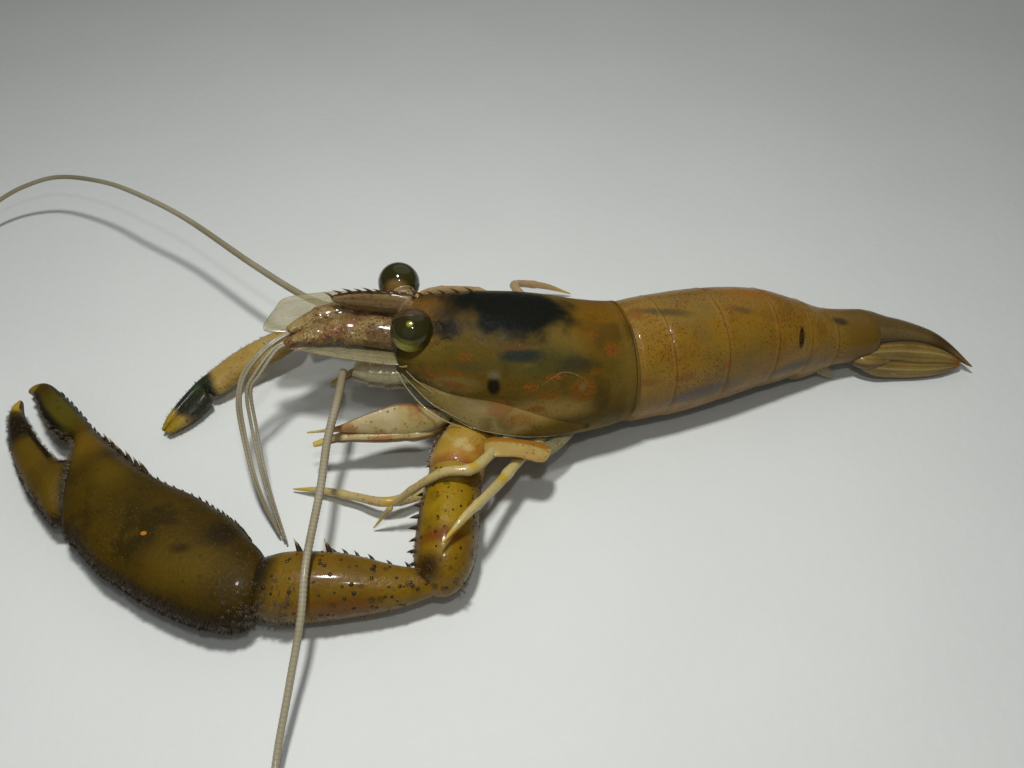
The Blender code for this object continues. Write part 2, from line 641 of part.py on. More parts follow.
def make_great_claw():
    """The left arm: ischium, merus, carpus, palm and its moving finger."""
    limb(
        "claw_left_ischium",
        "claw",
        ((-2.9, -4.0, 5.0, 1.6), (-3.3, -8.4, 4.8, 1.9), (-4.3, -11.2, 4.5, 2.05), (-4.6, -12.1, 4.4, 1.9)),
        7,
        sides=14,
    )
    limb(
        "claw_left_merus",
        "claw",
        ((-4.7, -12.5, 4.4, 1.9), (-5.0, -16.0, 4.2, 2.25), (-5.3, -19.5, 3.7, 2.4), (-5.6, -21.9, 3.2, 2.1),
         (-5.7, -23.3, 3.0, 0.9)),
        11,
        sides=14,
    )
    limb(
        "claw_left_carpus",
        "claw",
        ((-6.4, -22.6, 2.6, 1.0), (-9.5, -22.4, 2.7, 1.8), (-13.0, -22.2, 2.75, 2.5), (-16.5, -22.3, 2.8, 2.75),
         (-19.0, -22.4, 2.8, 2.4)),
        11,
        sides=14,
    )
    palm_rows = (
        ((-19.5, -20.6), (-19.5, -24.2), 2.85, 2.0),
        ((-20.6, -18.6), (-20.6, -25.7), 2.85, 2.6),
        ((-22.4, -16.7), (-23.6, -25.5), 2.85, 2.8),
        ((-26.1, -14.3), (-27.6, -23.8), 2.85, 2.9),
        ((-28.9, -13.0), (-30.0, -22.4), 2.85, 2.85),
        ((-31.5, -11.4), (-32.3, -21.0), 2.85, 2.8),
        ((-34.4, -9.2), (-34.9, -18.6), 2.8, 2.6),
        ((-36.3, -7.5), (-36.1, -17.2), 2.7, 2.3),
        ((-37.2, -6.7), (-38.1, -8.8), 2.6, 1.5),
        ((-38.8, -5.0), (-39.9, -7.7), 2.6, 1.4),
        ((-40.8, -3.1), (-41.8, -5.9), 2.6, 1.2),
        ((-43.2, -1.2), (-43.7, -3.6), 2.5, 0.95),
        ((-44.3, -1.2), (-44.8, -2.1), 2.4, 0.45),
    )
    blade(
        "claw_left_palm",
        "claw",
        [(*upper, z, *lower, z, half) for upper, lower, z, half in palm_rows],
        sides=16,
        power=2.3,
    )
    finger_rows = (
        ((-38.5, -9.7), (-36.7, -17.1), 2.6, 1.9),
        ((-39.0, -10.4), (-38.4, -15.6), 2.6, 1.85),
        ((-40.2, -9.3), (-40.8, -13.2), 2.6, 1.6),
        ((-41.6, -8.0), (-43.4, -9.6), 2.6, 1.35),
        ((-43.3, -6.0), (-44.9, -6.6), 2.5, 1.1),
        ((-44.4, -4.5), (-45.5, -4.6), 2.4, 0.8),
        ((-45.0, -3.1), (-45.3, -3.1), 2.4, 0.3),
    )
    blade(
        "claw_left_finger",
        "claw",
        [(*inner, z, *outer, z, half) for inner, outer, z, half in finger_rows],
        sides=14,
        power=2.1,
    )


def make_small_claw():
    """The right arm, folded forward under the head, with its slim fingers shut."""
    lengths = {
        "ischium": ((-3.0, 1.0, 4.4, 1.1), (-4.6, 4.6, 3.9, 1.2), (-6.6, 6.6, 3.6, 1.15)),
        "merus": ((-6.7, 6.7, 3.6, 1.1), (-10.0, 7.4, 3.5, 1.3), (-13.4, 7.0, 3.6, 1.1)),
        "carpus": ((-13.5, 7.0, 3.6, 0.9), (-17.0, 5.9, 3.7, 1.3), (-20.0, 4.5, 3.6, 1.2)),
    }
    for name, stations in lengths.items():
        limb("claw_right_" + name, "claw", stations, 6)
    palm_rows = (
        ((-20.1, 5.6), (-20.7, 3.4), 3.5, 1.05),
        ((-23.2, 4.8), (-22.6, 1.9), 3.0, 1.25),
        ((-26.4, 3.0), (-25.2, 0.3), 2.4, 1.2),
        ((-28.9, 0.7), (-27.7, -1.6), 1.8, 1.05),
        ((-29.9, -0.4), (-28.9, -1.2), 1.6, 0.8),
        ((-31.0, -2.1), (-30.1, -2.7), 1.3, 0.65),
        ((-31.9, -4.0), (-31.2, -4.3), 1.0, 0.5),
        ((-32.2, -5.2), (-31.9, -5.2), 0.7, 0.25),
    )
    blade("claw_right_palm", "claw", [(*a, z, *b, z, half) for a, b, z, half in palm_rows], sides=12)
    finger_rows = (
        ((-28.7, -1.7), (-28.1, -2.2), 1.6, 0.75),
        ((-29.7, -3.1), (-29.0, -3.5), 1.3, 0.65),
        ((-30.7, -4.5), (-30.2, -4.7), 1.0, 0.5),
        ((-31.5, -5.4), (-31.3, -5.5), 0.7, 0.25),
    )
    blade("claw_right_finger", "claw", [(*a, z, *b, z, half) for a, b, z, half in finger_rows], sides=8)


# Where the pieces meet: each is cut back to stand a thin gap clear of the ones named after it
MEETINGS = {
    "carapace": ("eye_left", "eye_right"),
    "rostrum": ("carapace", "eye_left"),
    "telson": ("abdomen_6",),
    **{f"uropod_inner_{side}": ("abdomen_6", "telson") for side in ("left", "right")},
    **{f"uropod_outer_{side}": ("abdomen_6", f"uropod_inner_{side}") for side in ("left", "right")},
    **{f"eyestalk_{side}": ("carapace", f"eye_{side}", "rostrum") for side in ("left", "right")},
    **{
        f"antennule_{side}": ("carapace", f"eye_{side}", f"eyestalk_{side}")
        for side in ("left", "right")
    },
    **{f"antenna_base_{side}": ("carapace",) for side in ("left", "right")},
    **{
        f"antenna_scale_{side}": ("carapace", f"antennule_{side}", f"antenna_base_{side}")
        for side in ("left", "right")
    },
    **{f"maxilliped_{side}": ("carapace", f"antenna_base_{side}") for side in ("left", "right")},
    **{
        f"{limb_name}_{side}": ("carapace",)
        for limb_name in ("leg1", "leg3", "leg4", "leg5")
        for side in ("left", "right")
    },
    **{f"claw_{side}_ischium": ("carapace",) for side in ("left", "right")},
    **{f"claw_{side}_merus": (f"claw_{side}_ischium",) for side in ("left", "right")},
    **{f"claw_{side}_carpus": (f"claw_{side}_merus",) for side in ("left", "right")},
    **{f"claw_{side}_palm": (f"claw_{side}_carpus",) for side in ("left", "right")},
}


def part_pieces():
    for name, others in MEETINGS.items():
        part_from(SHRIMP.objects[name], *(SHRIMP.objects[other] for other in others))


# The whole shrimp
random.seed(SEED)
make_carapace()
make_rostrum()
make_eyes()
make_antennules()
make_flagella()
make_antennae()
make_abdomen()
make_tail_fan()
make_mouth_limbs()
make_walking_legs()
make_great_claw()
make_small_claw()
part_pieces()
grow_spines()
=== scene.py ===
# %% [markdown]
# A Caribbean longarm shrimp at life size, lying on a pale floor with its great left claw swept forward.
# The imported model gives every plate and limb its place, so the pieces here are drawn out along the same
# lines, in millimetres, and stand for the plain solids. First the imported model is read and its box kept.

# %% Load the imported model
import math
import random

import bmesh
import bpy
import numpy as np
from mathutils import Matrix, Vector
from mathutils.bvhtree import BVHTree


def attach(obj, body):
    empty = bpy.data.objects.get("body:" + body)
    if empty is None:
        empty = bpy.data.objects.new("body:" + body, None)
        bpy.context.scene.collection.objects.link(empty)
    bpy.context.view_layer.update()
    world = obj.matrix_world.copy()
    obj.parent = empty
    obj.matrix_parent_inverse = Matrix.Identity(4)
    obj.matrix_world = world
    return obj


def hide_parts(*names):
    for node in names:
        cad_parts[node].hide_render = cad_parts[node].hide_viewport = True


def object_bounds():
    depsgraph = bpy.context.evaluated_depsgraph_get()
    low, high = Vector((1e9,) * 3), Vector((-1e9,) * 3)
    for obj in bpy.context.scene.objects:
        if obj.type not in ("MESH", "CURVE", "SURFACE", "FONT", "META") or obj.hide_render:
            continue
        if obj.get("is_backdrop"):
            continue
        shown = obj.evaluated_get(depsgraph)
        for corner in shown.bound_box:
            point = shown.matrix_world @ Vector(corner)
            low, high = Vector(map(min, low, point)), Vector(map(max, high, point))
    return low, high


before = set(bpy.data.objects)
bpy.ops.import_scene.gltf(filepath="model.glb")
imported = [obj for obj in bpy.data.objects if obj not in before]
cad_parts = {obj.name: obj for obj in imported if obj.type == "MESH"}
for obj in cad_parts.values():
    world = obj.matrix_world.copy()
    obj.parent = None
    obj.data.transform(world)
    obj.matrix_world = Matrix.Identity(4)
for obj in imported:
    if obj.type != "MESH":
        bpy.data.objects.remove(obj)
CAD_BOX = [[float(value) for value in corner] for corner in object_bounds()]
MM = 0.001  # one millimetre in the frame's metres
MIDDLE = np.array((-11.23, -19.04, 0.0))  # the middle of the footprint, in the shrimp's own millimetres
random.seed(29)
print("packed nodes:", len(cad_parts))


# %% [markdown]
# The photograph looks down on the shrimp from its left side at about 48 degrees, from close by. A camera
# is set at that height and distance, with a lens that covers the same width of paper. A plain sheet lies
# under the animal. A small bright lamp overhead draws its shadow, two broad weak ones light it from behind
# and from the front, and a tiny one near the camera gives the eyes and the wet shell their glints.

# %% Camera
def at(x, y, z):
    """A place given in the shrimp's own millimetres, in the frame's metres."""
    return Vector(((x - MIDDLE[0]) * MM, (y - MIDDLE[1]) * MM, z * MM))


FOCAL, PICTURE_WIDE = 870, 1024  # the lens's length and the picture's width, both in pixels
SENSOR = 36
STAND = (0.0, -55.5, 63.0)  # where the camera stands
LOOKS_DOWN = 48  # degrees below level
view = bpy.data.cameras.new("camera")
view.lens, view.sensor_width = FOCAL / PICTURE_WIDE * SENSOR, SENSOR
view.clip_start = MM
camera = bpy.data.objects.new("camera", view)
camera.location = at(*STAND)
camera.rotation_euler = (math.radians(90 - LOOKS_DOWN), 0, 0)
bpy.context.scene.collection.objects.link(camera)
bpy.context.scene.camera = camera
bpy.context.scene.view_settings.view_transform = "Standard"
print("camera at", [round(value, 4) for value in camera.location])


# %% Floor and lamps
def rest_hands():
    """Leaves edit mode and lets go of everything, so that an operator touches only what is picked next."""
    if bpy.context.object and bpy.context.object.mode != "OBJECT":
        bpy.ops.object.mode_set(mode="OBJECT")
    bpy.ops.object.select_all(action="DESELECT")


PAPER_WIDE, PAPER_DEPTH = 1.6, 0.0002  # metres; its top lies just under the lowest points of the shell
LAMPS = (  # where each hangs and what it is aimed at, in millimetres, then its width in metres and its watts
    ("lamp_over", (-10, -18, 120), (-16, -24, 0), 0.013, 0.098),
    ("lamp_back", (40, 150, 170), (0, 0, 0), 0.30, 0.07),
    ("lamp_front", (-60, -190, 150), (0, 0, 0), 0.30, 0.04),
    ("lamp_glint", (4, -50, 90), (0, -10, 0), 0.005, 0.011),
)
SKY, SKY_STRENGTH = (0.86, 0.93, 1.0, 1), 0.07
rest_hands()
bpy.ops.mesh.primitive_plane_add(size=PAPER_WIDE, location=(0, 0, -PAPER_DEPTH))
paper = bpy.context.object
paper.name = "paper"
paper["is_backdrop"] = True
for name, spot, aim, size, watts in LAMPS:
    lamp = bpy.data.lights.new(name, "AREA")
    lamp.shape = "DISK"
    lamp.size, lamp.energy = size, watts
    holder = bpy.data.objects.new(name, lamp)
    holder.location = at(*spot)
    holder.rotation_euler = (at(*aim) - at(*spot)).to_track_quat("-Z", "Y").to_euler()
    bpy.context.scene.collection.objects.link(holder)
sky = bpy.data.worlds.new("studio")
bpy.context.scene.world = sky
sky.use_nodes = True
backdrop = sky.node_tree.nodes["Background"].inputs
backdrop["Color"].default_value, backdrop["Strength"].default_value = SKY, SKY_STRENGTH
print("floor set, lamps:", len(LAMPS))


# %% [markdown]
# A shrimp's shell is thin, stained by spots, clouds and dark fields, and wet. Each of those effects is
# used by many finishes, so each is made once as a node group that gives a mask or a height, and every
# finish then lays its own colours over each other through those masks.

# %% Node groups
def group(name, wanted, gives):
    """An empty node group with named inputs (name, kind, value) and one output."""
    tree = bpy.data.node_groups.new(name, "ShaderNodeTree")
    for socket, kind, value in wanted:
        made = tree.interface.new_socket(socket, in_out="INPUT", socket_type="NodeSocket" + kind)
        made.default_value = value
    tree.interface.new_socket(gives, in_out="OUTPUT", socket_type="NodeSocketFloat")
    return tree, tree.nodes.new("NodeGroupInput"), tree.nodes.new("NodeGroupOutput")


def fill(tree, node, inputs):
    """Fills a node's inputs, each with a plain value or with a link from another node."""
    for key, value in dict(inputs).items():
        socket = node.inputs[key]
        if isinstance(value, bpy.types.NodeSocket):
            tree.links.new(value, socket)
        else:
            socket.default_value = value


def put(tree, kind, inputs=(), **settings):
    """Adds one node, sets it up and fills its inputs."""
    made = tree.nodes.new("ShaderNode" + kind)
    for key, value in settings.items():
        setattr(made, key, value)
    fill(tree, made, inputs)
    return made


SPACE = ("Place", "Vector", (0, 0, 0))
EASED = "SMOOTHSTEP"


def make_clouds():
    """Soft clouds: nothing where the noise is below From, one where it is above To."""
    tree, wants, gives = group("clouds", (SPACE, ("Scale", "Float", 200), ("From", "Float", 0.45),
                                          ("To", "Float", 0.6), ("Detail", "Float", 4)), "Mask")
    wanted = wants.outputs
    noise = put(tree, "TexNoise", {"Vector": wanted["Place"], "Scale": wanted["Scale"],
                                   "Detail": wanted["Detail"]})
    cut = put(tree, "MapRange", {"Value": noise.outputs["Fac"], "From Min": wanted["From"],
                                 "From Max": wanted["To"]}, interpolation_type=EASED)
    tree.links.new(cut.outputs[0], gives.inputs[0])
    return tree


def make_spots():
    """Round dots, one in each cell, that shrink by patches to the share of their size given by Spread."""
    tree, wants, gives = group("spots", (SPACE, ("Scale", "Float", 1500), ("Size", "Float", 0.25),
                                         ("Blur", "Float", 0.08), ("Spread", "Float", 0.5)), "Mask")
    wanted = wants.outputs
    cells = put(tree, "TexVoronoi", {"Vector": wanted["Place"], "Scale": wanted["Scale"]})
    patch = put(tree, "TexNoise", {"Vector": wanted["Place"], "Scale": 260.0, "Detail": 2.0})
    own = put(tree, "MapRange", {"Value": patch.outputs["Fac"], "From Min": 0.35, "From Max": 0.65,
                                 "To Min": wanted["Spread"], "To Max": 1.0})
    size = put(tree, "Math", {0: wanted["Size"], 1: own.outputs[0]}, operation="MULTIPLY")
    wide = put(tree, "Math", {0: size.outputs[0], 1: wanted["Blur"]}, operation="ADD")
    cut = put(tree, "MapRange", {"Value": cells.outputs["Distance"], "From Min": size.outputs[0],
                                 "From Max": wide.outputs[0], "To Min": 1.0, "To Max": 0.0},
              interpolation_type=EASED)
    tree.links.new(cut.outputs[0], gives.inputs[0])
    return tree


def make_field():
    """One where a place lies inside an ellipsoid, fading to nothing at its edge, which wanders a little."""
    tree, wants, gives = group("field", (SPACE, ("Centre", "Vector", (0, 0, 0)),
                                         ("Reach", "Vector", (1, 1, 1)), ("Soft", "Float", 0.5),
                                         ("Wander", "Float", 0.25)), "Mask")
    wanted = wants.outputs
    off = put(tree, "VectorMath", {0: wanted["Place"], 1: wanted["Centre"]}, operation="SUBTRACT")
    unit = put(tree, "VectorMath", {0: off.outputs[0], 1: wanted["Reach"]}, operation="DIVIDE")
    far = put(tree, "VectorMath", {0: unit.outputs[0]}, operation="LENGTH")
    noise = put(tree, "TexNoise", {"Vector": wanted["Place"], "Scale": 420.0, "Detail": 3.0})
    swing = put(tree, "Math", {0: noise.outputs["Fac"], 1: 0.5}, operation="SUBTRACT")
    stray = put(tree, "Math", {0: swing.outputs[0], 1: wanted["Wander"], 2: far.outputs["Value"]},
                operation="MULTIPLY_ADD")
    start = put(tree, "Math", {0: 1.0, 1: wanted["Soft"]}, operation="SUBTRACT")
    cut = put(tree, "MapRange", {"Value": stray.outputs[0], "From Min": start.outputs[0], "From Max": 1.0,
                                 "To Min": 1.0, "To Max": 0.0}, interpolation_type=EASED)
    tree.links.new(cut.outputs[0], gives.inputs[0])
    return tree


def make_bands():
    """Reads a value that runs along a piece, and is one between Low and High with soft ends."""
    tree, wants, gives = group("bands", (("Along", "Float", 0), ("Low", "Float", 0.4), ("High", "Float", 0.6),
                                         ("Soft", "Float", 0.05)), "Mask")
    wanted = wants.outputs
    low = put(tree, "Math", {0: wanted["Low"], 1: wanted["Soft"]}, operation="ADD")
    high = put(tree, "Math", {0: wanted["High"], 1: wanted["Soft"]}, operation="SUBTRACT")
    rise = put(tree, "MapRange", {"Value": wanted["Along"], "From Min": wanted["Low"],
                                  "From Max": low.outputs[0]}, interpolation_type=EASED)
    fall = put(tree, "MapRange", {"Value": wanted["Along"], "From Min": high.outputs[0],
                                  "From Max": wanted["High"], "To Min": 1.0, "To Max": 0.0},
               interpolation_type=EASED)
    both = put(tree, "Math", {0: rise.outputs[0], 1: fall.outputs[0]}, operation="MULTIPLY")
    tree.links.new(both.outputs[0], gives.inputs[0])
    return tree


def make_rings():
    """Fine rings across a piece, one for each step along it."""
    tree, wants, gives = group("rings", (("Along", "Float", 0), ("Step", "Float", 0.5),
                                         ("Share", "Float", 0.5)), "Mask")
    turns = put(tree, "Math", {0: wants.outputs["Along"], 1: wants.outputs["Step"]}, operation="DIVIDE")
    part = put(tree, "Math", {0: turns.outputs[0]}, operation="FRACT")
    wave = put(tree, "Math", {0: part.outputs[0], 1: 0.5}, operation="SUBTRACT")
    size = put(tree, "Math", {0: wave.outputs[0]}, operation="ABSOLUTE")
    cut = put(tree, "MapRange", {"Value": size.outputs[0], "From Min": wants.outputs["Share"],
                                 "From Max": 0.5})
    tree.links.new(cut.outputs[0], gives.inputs[0])
    return tree


GROUPS = {"clouds": make_clouds(), "spots": make_spots(), "field": make_field(), "bands": make_bands(),
          "rings": make_rings()}
print("node groups:", sorted(GROUPS))


# %% [markdown]
# A finish is one Principled shader. Its colour starts from a base and takes one layer after another, each
# through a mask from the groups, and its relief comes from the same masks through a Bump node. Wet shell
# is smooth with a thin clear coat, so that the lamps draw small sharp glints on it.

# %% Finish maker
def mask_of(tree, place, layer):
    """The mask of one layer: a group with its own values, inside any walls, times a plain amount.

    A layer is the group's name, its values and the amount, and then the walls, which are layers too.
    """
    kind, values, amount = layer[:3]
    inputs = dict(values)
    if kind in ("bands", "rings"):
        track = inputs.pop("track", "share")
        inputs["Along"] = put(tree, "Attribute", attribute_name=track).outputs["Fac"]
    else:
        inputs["Place"] = place
    if kind == "field":
        inputs["Centre"] = at(*inputs["Centre"])
        inputs["Reach"] = Vector(inputs["Reach"]) * MM
    made = put(tree, "Group", node_tree=GROUPS[kind])
    fill(tree, made, inputs)
    mask = made.outputs[0]
    for wall in layer[3:]:
        mask = put(tree, "Math", {0: mask, 1: mask_of(tree, place, wall)}, operation="MULTIPLY").outputs[0]
    if amount == 1:
        return mask
    return put(tree, "Math", {0: mask, 1: amount}, operation="MULTIPLY").outputs[0]


COAT_ROUGHNESS = 0.10
GLOW_COLOURS = (1.0, 0.55, 0.2)  # how far red, green and blue light spread under thin shell
GLOW_REACH = 0.0012  # metres


def finish(name, base, layers=(), gloss=(0.22, 0.4), coat=0.35, relief=(), soft=0.0, clear=1.0, shine=0.22):
    """A wet shell finish: (mask layer, colour) pairs over a base, and (mask layer, depth) pairs of relief.

    `gloss` is its least and greatest roughness, `coat` and `shine` how strongly it mirrors, `soft` how much
    light spreads under it, and `clear` below one lets through what lies behind.
    """
    made = bpy.data.materials.new(name)
    made.use_nodes = True
    tree = made.node_tree
    shader = tree.nodes["Principled BSDF"]
    place = put(tree, "TexCoord").outputs["Object"]
    colour = (*base, 1)
    for layer, tint in layers:
        mix = put(tree, "Mix", data_type="RGBA")
        fill(tree, mix, {"Factor": mask_of(tree, place, layer), "A": colour, "B": (*tint, 1)})
        colour = mix.outputs["Result"]
    grime = put(tree, "TexNoise", {"Vector": place, "Scale": 900.0, "Detail": 3.0})
    rough = put(tree, "MapRange", {"Value": grime.outputs["Fac"], "From Min": 0.35, "From Max": 0.65,
                                   "To Min": gloss[0], "To Max": gloss[1]})
    wanted = {"Base Color": colour, "Roughness": rough.outputs[0], "Specular IOR Level": shine,
              "Coat Weight": coat, "Coat Roughness": COAT_ROUGHNESS, "Alpha": clear}
    if soft:
        wanted |= {"Subsurface Weight": soft, "Subsurface Radius": GLOW_COLOURS,
                   "Subsurface Scale": GLOW_REACH}
    for layer, depth in relief:
        inputs = {"Height": mask_of(tree, place, layer), "Strength": 1.0, "Distance": depth * MM}
        if "Normal" in wanted:  # each relief lies on the one before it
            inputs["Normal"] = wanted["Normal"]
        wanted["Normal"] = put(tree, "Bump", inputs).outputs["Normal"]
    fill(tree, shader, wanted)
    return made


def cloud(scale, start, end, amount, detail=4):
    """Soft clouds: a greater scale makes them smaller, and start and end say how much they cover."""
    return ("clouds", dict(Scale=scale, From=start, To=end, Detail=detail), amount)


def dots(scale, size, amount, *walls):
    """Small round pigment dots, closer together in some patches than in others."""
    return ("spots", dict(Scale=scale, Size=size, Blur=0.10, Spread=0.45), amount, *walls)


def stain(centre, reach, amount=1, soft=0.6, wander=0.3):
    """A stain at one place: its middle and how far it reaches, in millimetres."""
    return ("field", dict(Centre=centre, Reach=reach, Soft=soft, Wander=wander), amount)


def band(low, high, amount, soft=0.05, track="share"):
    """A band across a piece, between two values of one of its tracks."""
    return ("bands", dict(track=track, Low=low, High=high, Soft=soft), amount)


PITS = cloud(2600, 0.3, 0.7, 1, 3)  # fine pits all over a shell
paper_finish = finish("white_paper", (0.73, 0.75, 0.71), [(cloud(60, 0.3, 0.7, 0.5), (0.70, 0.71, 0.68))],
                      gloss=(0.6, 0.75), coat=0.0, relief=[(cloud(900, 0.3, 0.7, 1), 0.02)])
paper.data.materials.append(paper_finish)
print("paper finished")


# %% [markdown]
# Nearly every piece of a shrimp is a tube or a flattened blade whose outline changes along its length. By
# hand it is a circle, drawn out by repeated extrusion and then set ring by ring. The helpers here do just
# that, close the ends, keep how far along the piece each point lies for the finishes, and round it off
# with one applied subdivision.

# %% Rings
def smooth(rows, count):
    """Rows read from a smooth curve through the given ones, evenly spread over them."""
    rows = np.array(rows, float)
    ends = np.vstack([2 * rows[0] - rows[1], rows, 2 * rows[-1] - rows[-2]])
    read = []
    for spot in np.linspace(0, len(rows) - 1, count):
        step = min(int(spot), len(rows) - 2)
        t = spot - step
        a, b, c, d = ends[step:step + 4]
        bends = (c - a) * t + (2 * a - 5 * b + 4 * c - d) * t**2 + (3 * b - a - 3 * c + d) * t**3
        read.append(b + 0.5 * bends)
    return np.array(read)


def headings(centres):
    """The direction in which a line of points runs, at each of them."""
    ahead = np.gradient(np.array(centres, float), axis=0)
    return ahead / np.linalg.norm(ahead, axis=1)[:, None]


def turns(sides):
    """The angles of the corners of a circle."""
    return 2 * np.pi * (np.arange(sides) + 0.5) / sides


HOLLOW_WIDE = 0.62  # how much of a hoop's width its hollow underside takes up
LOWEST = 0.02  # millimetres above the paper, which nothing sinks into


def outline(centre, side, lift, drop, sides, power=2.0, low_power=None, keel=0.0, hollow=0.0):
    """One closed ring: `side`, `lift` and `drop` reach from the centre to its edges.

    A greater power makes it squarer, `keel` draws its top to a ridge and `hollow` lifts its underside.
    """
    angle = turns(sides)
    above = np.sin(angle) > 0
    own = np.where(above, power, low_power or power)
    across = np.sign(np.cos(angle)) * np.abs(np.cos(angle)) ** (2 / own)
    up = np.sign(np.sin(angle)) * np.abs(np.sin(angle)) ** (2 / own)
    across = np.where(above, across * (1 - keel * up**2), across)
    up = np.where(above, up, up * (1 - hollow * np.clip(1 - (across / HOLLOW_WIDE) ** 2, 0, None)))
    tall = np.where(above[:, None], up[:, None] * lift, up[:, None] * drop)
    return centre + across[:, None] * side + tall


def drawn_out(name, rings, rounding=1, shares=None):
    """A circle drawn out once for each ring, set to those rings in millimetres, and closed at both ends.

    `shares` says how far along the piece each ring counts as lying, from 0 to 1, for its finish.
    """
    rings = np.array(rings, float)
    count, sides = rings.shape[:2]
    rest_hands()
    bpy.ops.mesh.primitive_circle_add(vertices=sides, radius=1.0, location=(0, 0, 0))
    piece = bpy.context.object
    piece.name = piece.data.name = name
    bpy.ops.object.mode_set(mode="EDIT")
    bpy.ops.mesh.select_all(action="SELECT")
    bpy.ops.mesh.extrude_repeat(steps=count - 1, offset=(0, 0, 1))
    for level in (0, count - 1):
        bpy.ops.mesh.select_all(action="DESELECT")
        shape = bmesh.from_edit_mesh(piece.data)
        for vert in shape.verts:
            vert.select = round(vert.co.z) == level
        shape.select_flush(True)
        bpy.ops.mesh.edge_face_add()
    bpy.ops.object.mode_set(mode="OBJECT")
    spots = np.empty(len(piece.data.vertices) * 3)
    piece.data.vertices.foreach_get("co", spots)
    spots = spots.reshape(-1, 3)
    level = np.round(spots[:, 2]).astype(int)
    turn = np.round(np.arctan2(spots[:, 1], spots[:, 0]) / (2 * np.pi) * sides).astype(int) % sides
    set_to = np.maximum(rings[level, turn], (-np.inf, -np.inf, LOWEST))
    piece.data.vertices.foreach_set("co", ((set_to - MIDDLE) * MM).ravel())
    centres = rings.mean(axis=1)
    run = np.concatenate([[0], np.cumsum(np.linalg.norm(np.diff(centres, axis=0), axis=1))])
    shares = run / run[-1] if shares is None else np.array(shares, float)
    angle = turns(sides)[turn]
    for track, values in (("run", run[level]), ("share", shares[level]), ("up", np.sin(angle)),
                          ("across", np.cos(angle))):
        values = values.astype(np.float32)
        piece.data.attributes.new(track, "FLOAT", "POINT").data.foreach_set("value", values)
    bpy.ops.object.mode_set(mode="EDIT")
    bpy.ops.mesh.select_all(action="SELECT")
    bpy.ops.mesh.normals_make_consistent(inside=False)
    bpy.ops.object.mode_set(mode="OBJECT")
    if rounding:
        round_off(piece, rounding)
    bpy.ops.object.shade_smooth()
    return piece


def round_off(piece, levels):
    """Adds a subdivision surface to a piece and applies it."""
    bpy.context.view_layer.objects.active = piece
    soften = piece.modifiers.new("soften", "SUBSURF")
    soften.levels = soften.render_levels = levels
    bpy.ops.object.modifier_apply(modifier=soften.name)


def keep(piece, slot, coat, *nodes):
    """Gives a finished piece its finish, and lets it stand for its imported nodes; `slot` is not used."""
    piece.data.materials.clear()
    piece.data.materials.append(coat)
    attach(piece, "root")
    if nodes:
        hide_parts(*nodes)
    return piece


STEEP = 0.8  # past this slope a ring takes its bearings from the front instead of from above


def round_rings(line, radii, sides, flat=1.0):
    """Round rings of the given radii along a line of places, pressed to a share of their height by `flat`."""
    rings = []
    for place, ahead, reach in zip(line, headings(line), radii):
        hint = (0, 0, 1) if abs(ahead[2]) < STEEP else (1, 0, 0)
        side = np.cross(hint, ahead)
        side /= np.linalg.norm(side)
        lift = np.cross(ahead, side)
        rings.append(outline(place, side * reach, lift * reach * flat, lift * reach * flat, sides))
    return np.array(rings)


def limb_rings(stations, count, sides=16, swell=None, flat=1.0):
    """Round rings along x, y, z and radius; swell(share) makes joints stand out."""
    rows = smooth(stations, count)
    radii = [row[3] * (swell(index / (count - 1)) if swell else 1) for index, row in enumerate(rows)]
    return round_rings(rows[:, :3], radii, sides, flat)


def blade_rings(rows, count, sides=20, power=2.0):
    """Rings between two edges: rows of one edge's x, y, z, the other's, and half the thickness."""
    rows = smooth(rows, count)
    centres = (rows[:, :3] + rows[:, 3:6]) / 2
    rings = []
    for row, centre, ahead in zip(rows, centres, headings(centres)):
        side = (row[:3] - row[3:6]) / 2
        lift = np.cross(ahead, side)
        lift *= row[6] / np.linalg.norm(lift)
        rings.append(outline(centre, side, lift, lift, sides, power))
    return np.array(rings)


print("ring helpers ready")


# %% [markdown]
# Thorns, teeth, bumps and hairs are small and many. One of each is modelled by hand and then copied to
# places on the shell, found by straight lines shot at it. A thin raised line is a bead along a route.

# %% Copies and beads
def skin_of(*names):
    """What a straight line can be shot at: the faces of the named objects, as one tree."""
    shape = bmesh.new()
    for name in names:
        shape.from_mesh(bpy.data.objects[name].data)
    tree = BVHTree.FromBMesh(shape)
    shape.free()
    return tree


SINK, BELLY = 0.8, 0.3  # how deep a thorn's root goes, in radii, and how much its middle bulges


def thorn(name, sides, length, radius, hook, cuts=(0.3, 0.55, 0.78)):
    """One thorn that stands on the origin: a cone, cut across and swept over in edit mode."""
    rest_hands()
    sink = radius * SINK
    bpy.ops.mesh.primitive_cone_add(vertices=sides, radius1=radius * MM, radius2=0, depth=length * MM,
                                    location=(0, 0, (length / 2 - sink) * MM), end_fill_type="NOTHING")
    piece = bpy.context.object
    piece.name = name
    bpy.ops.object.transform_apply(location=True)
    bpy.ops.object.mode_set(mode="EDIT")
    for share in cuts:
        bpy.ops.mesh.select_all(action="SELECT")
        bpy.ops.mesh.bisect(plane_co=(0, 0, (share * length - sink) * MM), plane_no=(0, 0, 1))
    shape = bmesh.from_edit_mesh(piece.data)
    for vert in shape.verts:
        high = max(0.0, vert.co.z / (length * MM))
        vert.co.x += hook * length * MM * high**2
        vert.co.xy *= 1 + BELLY * math.sin(math.pi * min(high, 1))
    bmesh.update_edit_mesh(piece.data)
    bpy.ops.object.mode_set(mode="OBJECT")
    return piece


PATCH = 0.0015  # how far one planted copy reaches in the unwrap


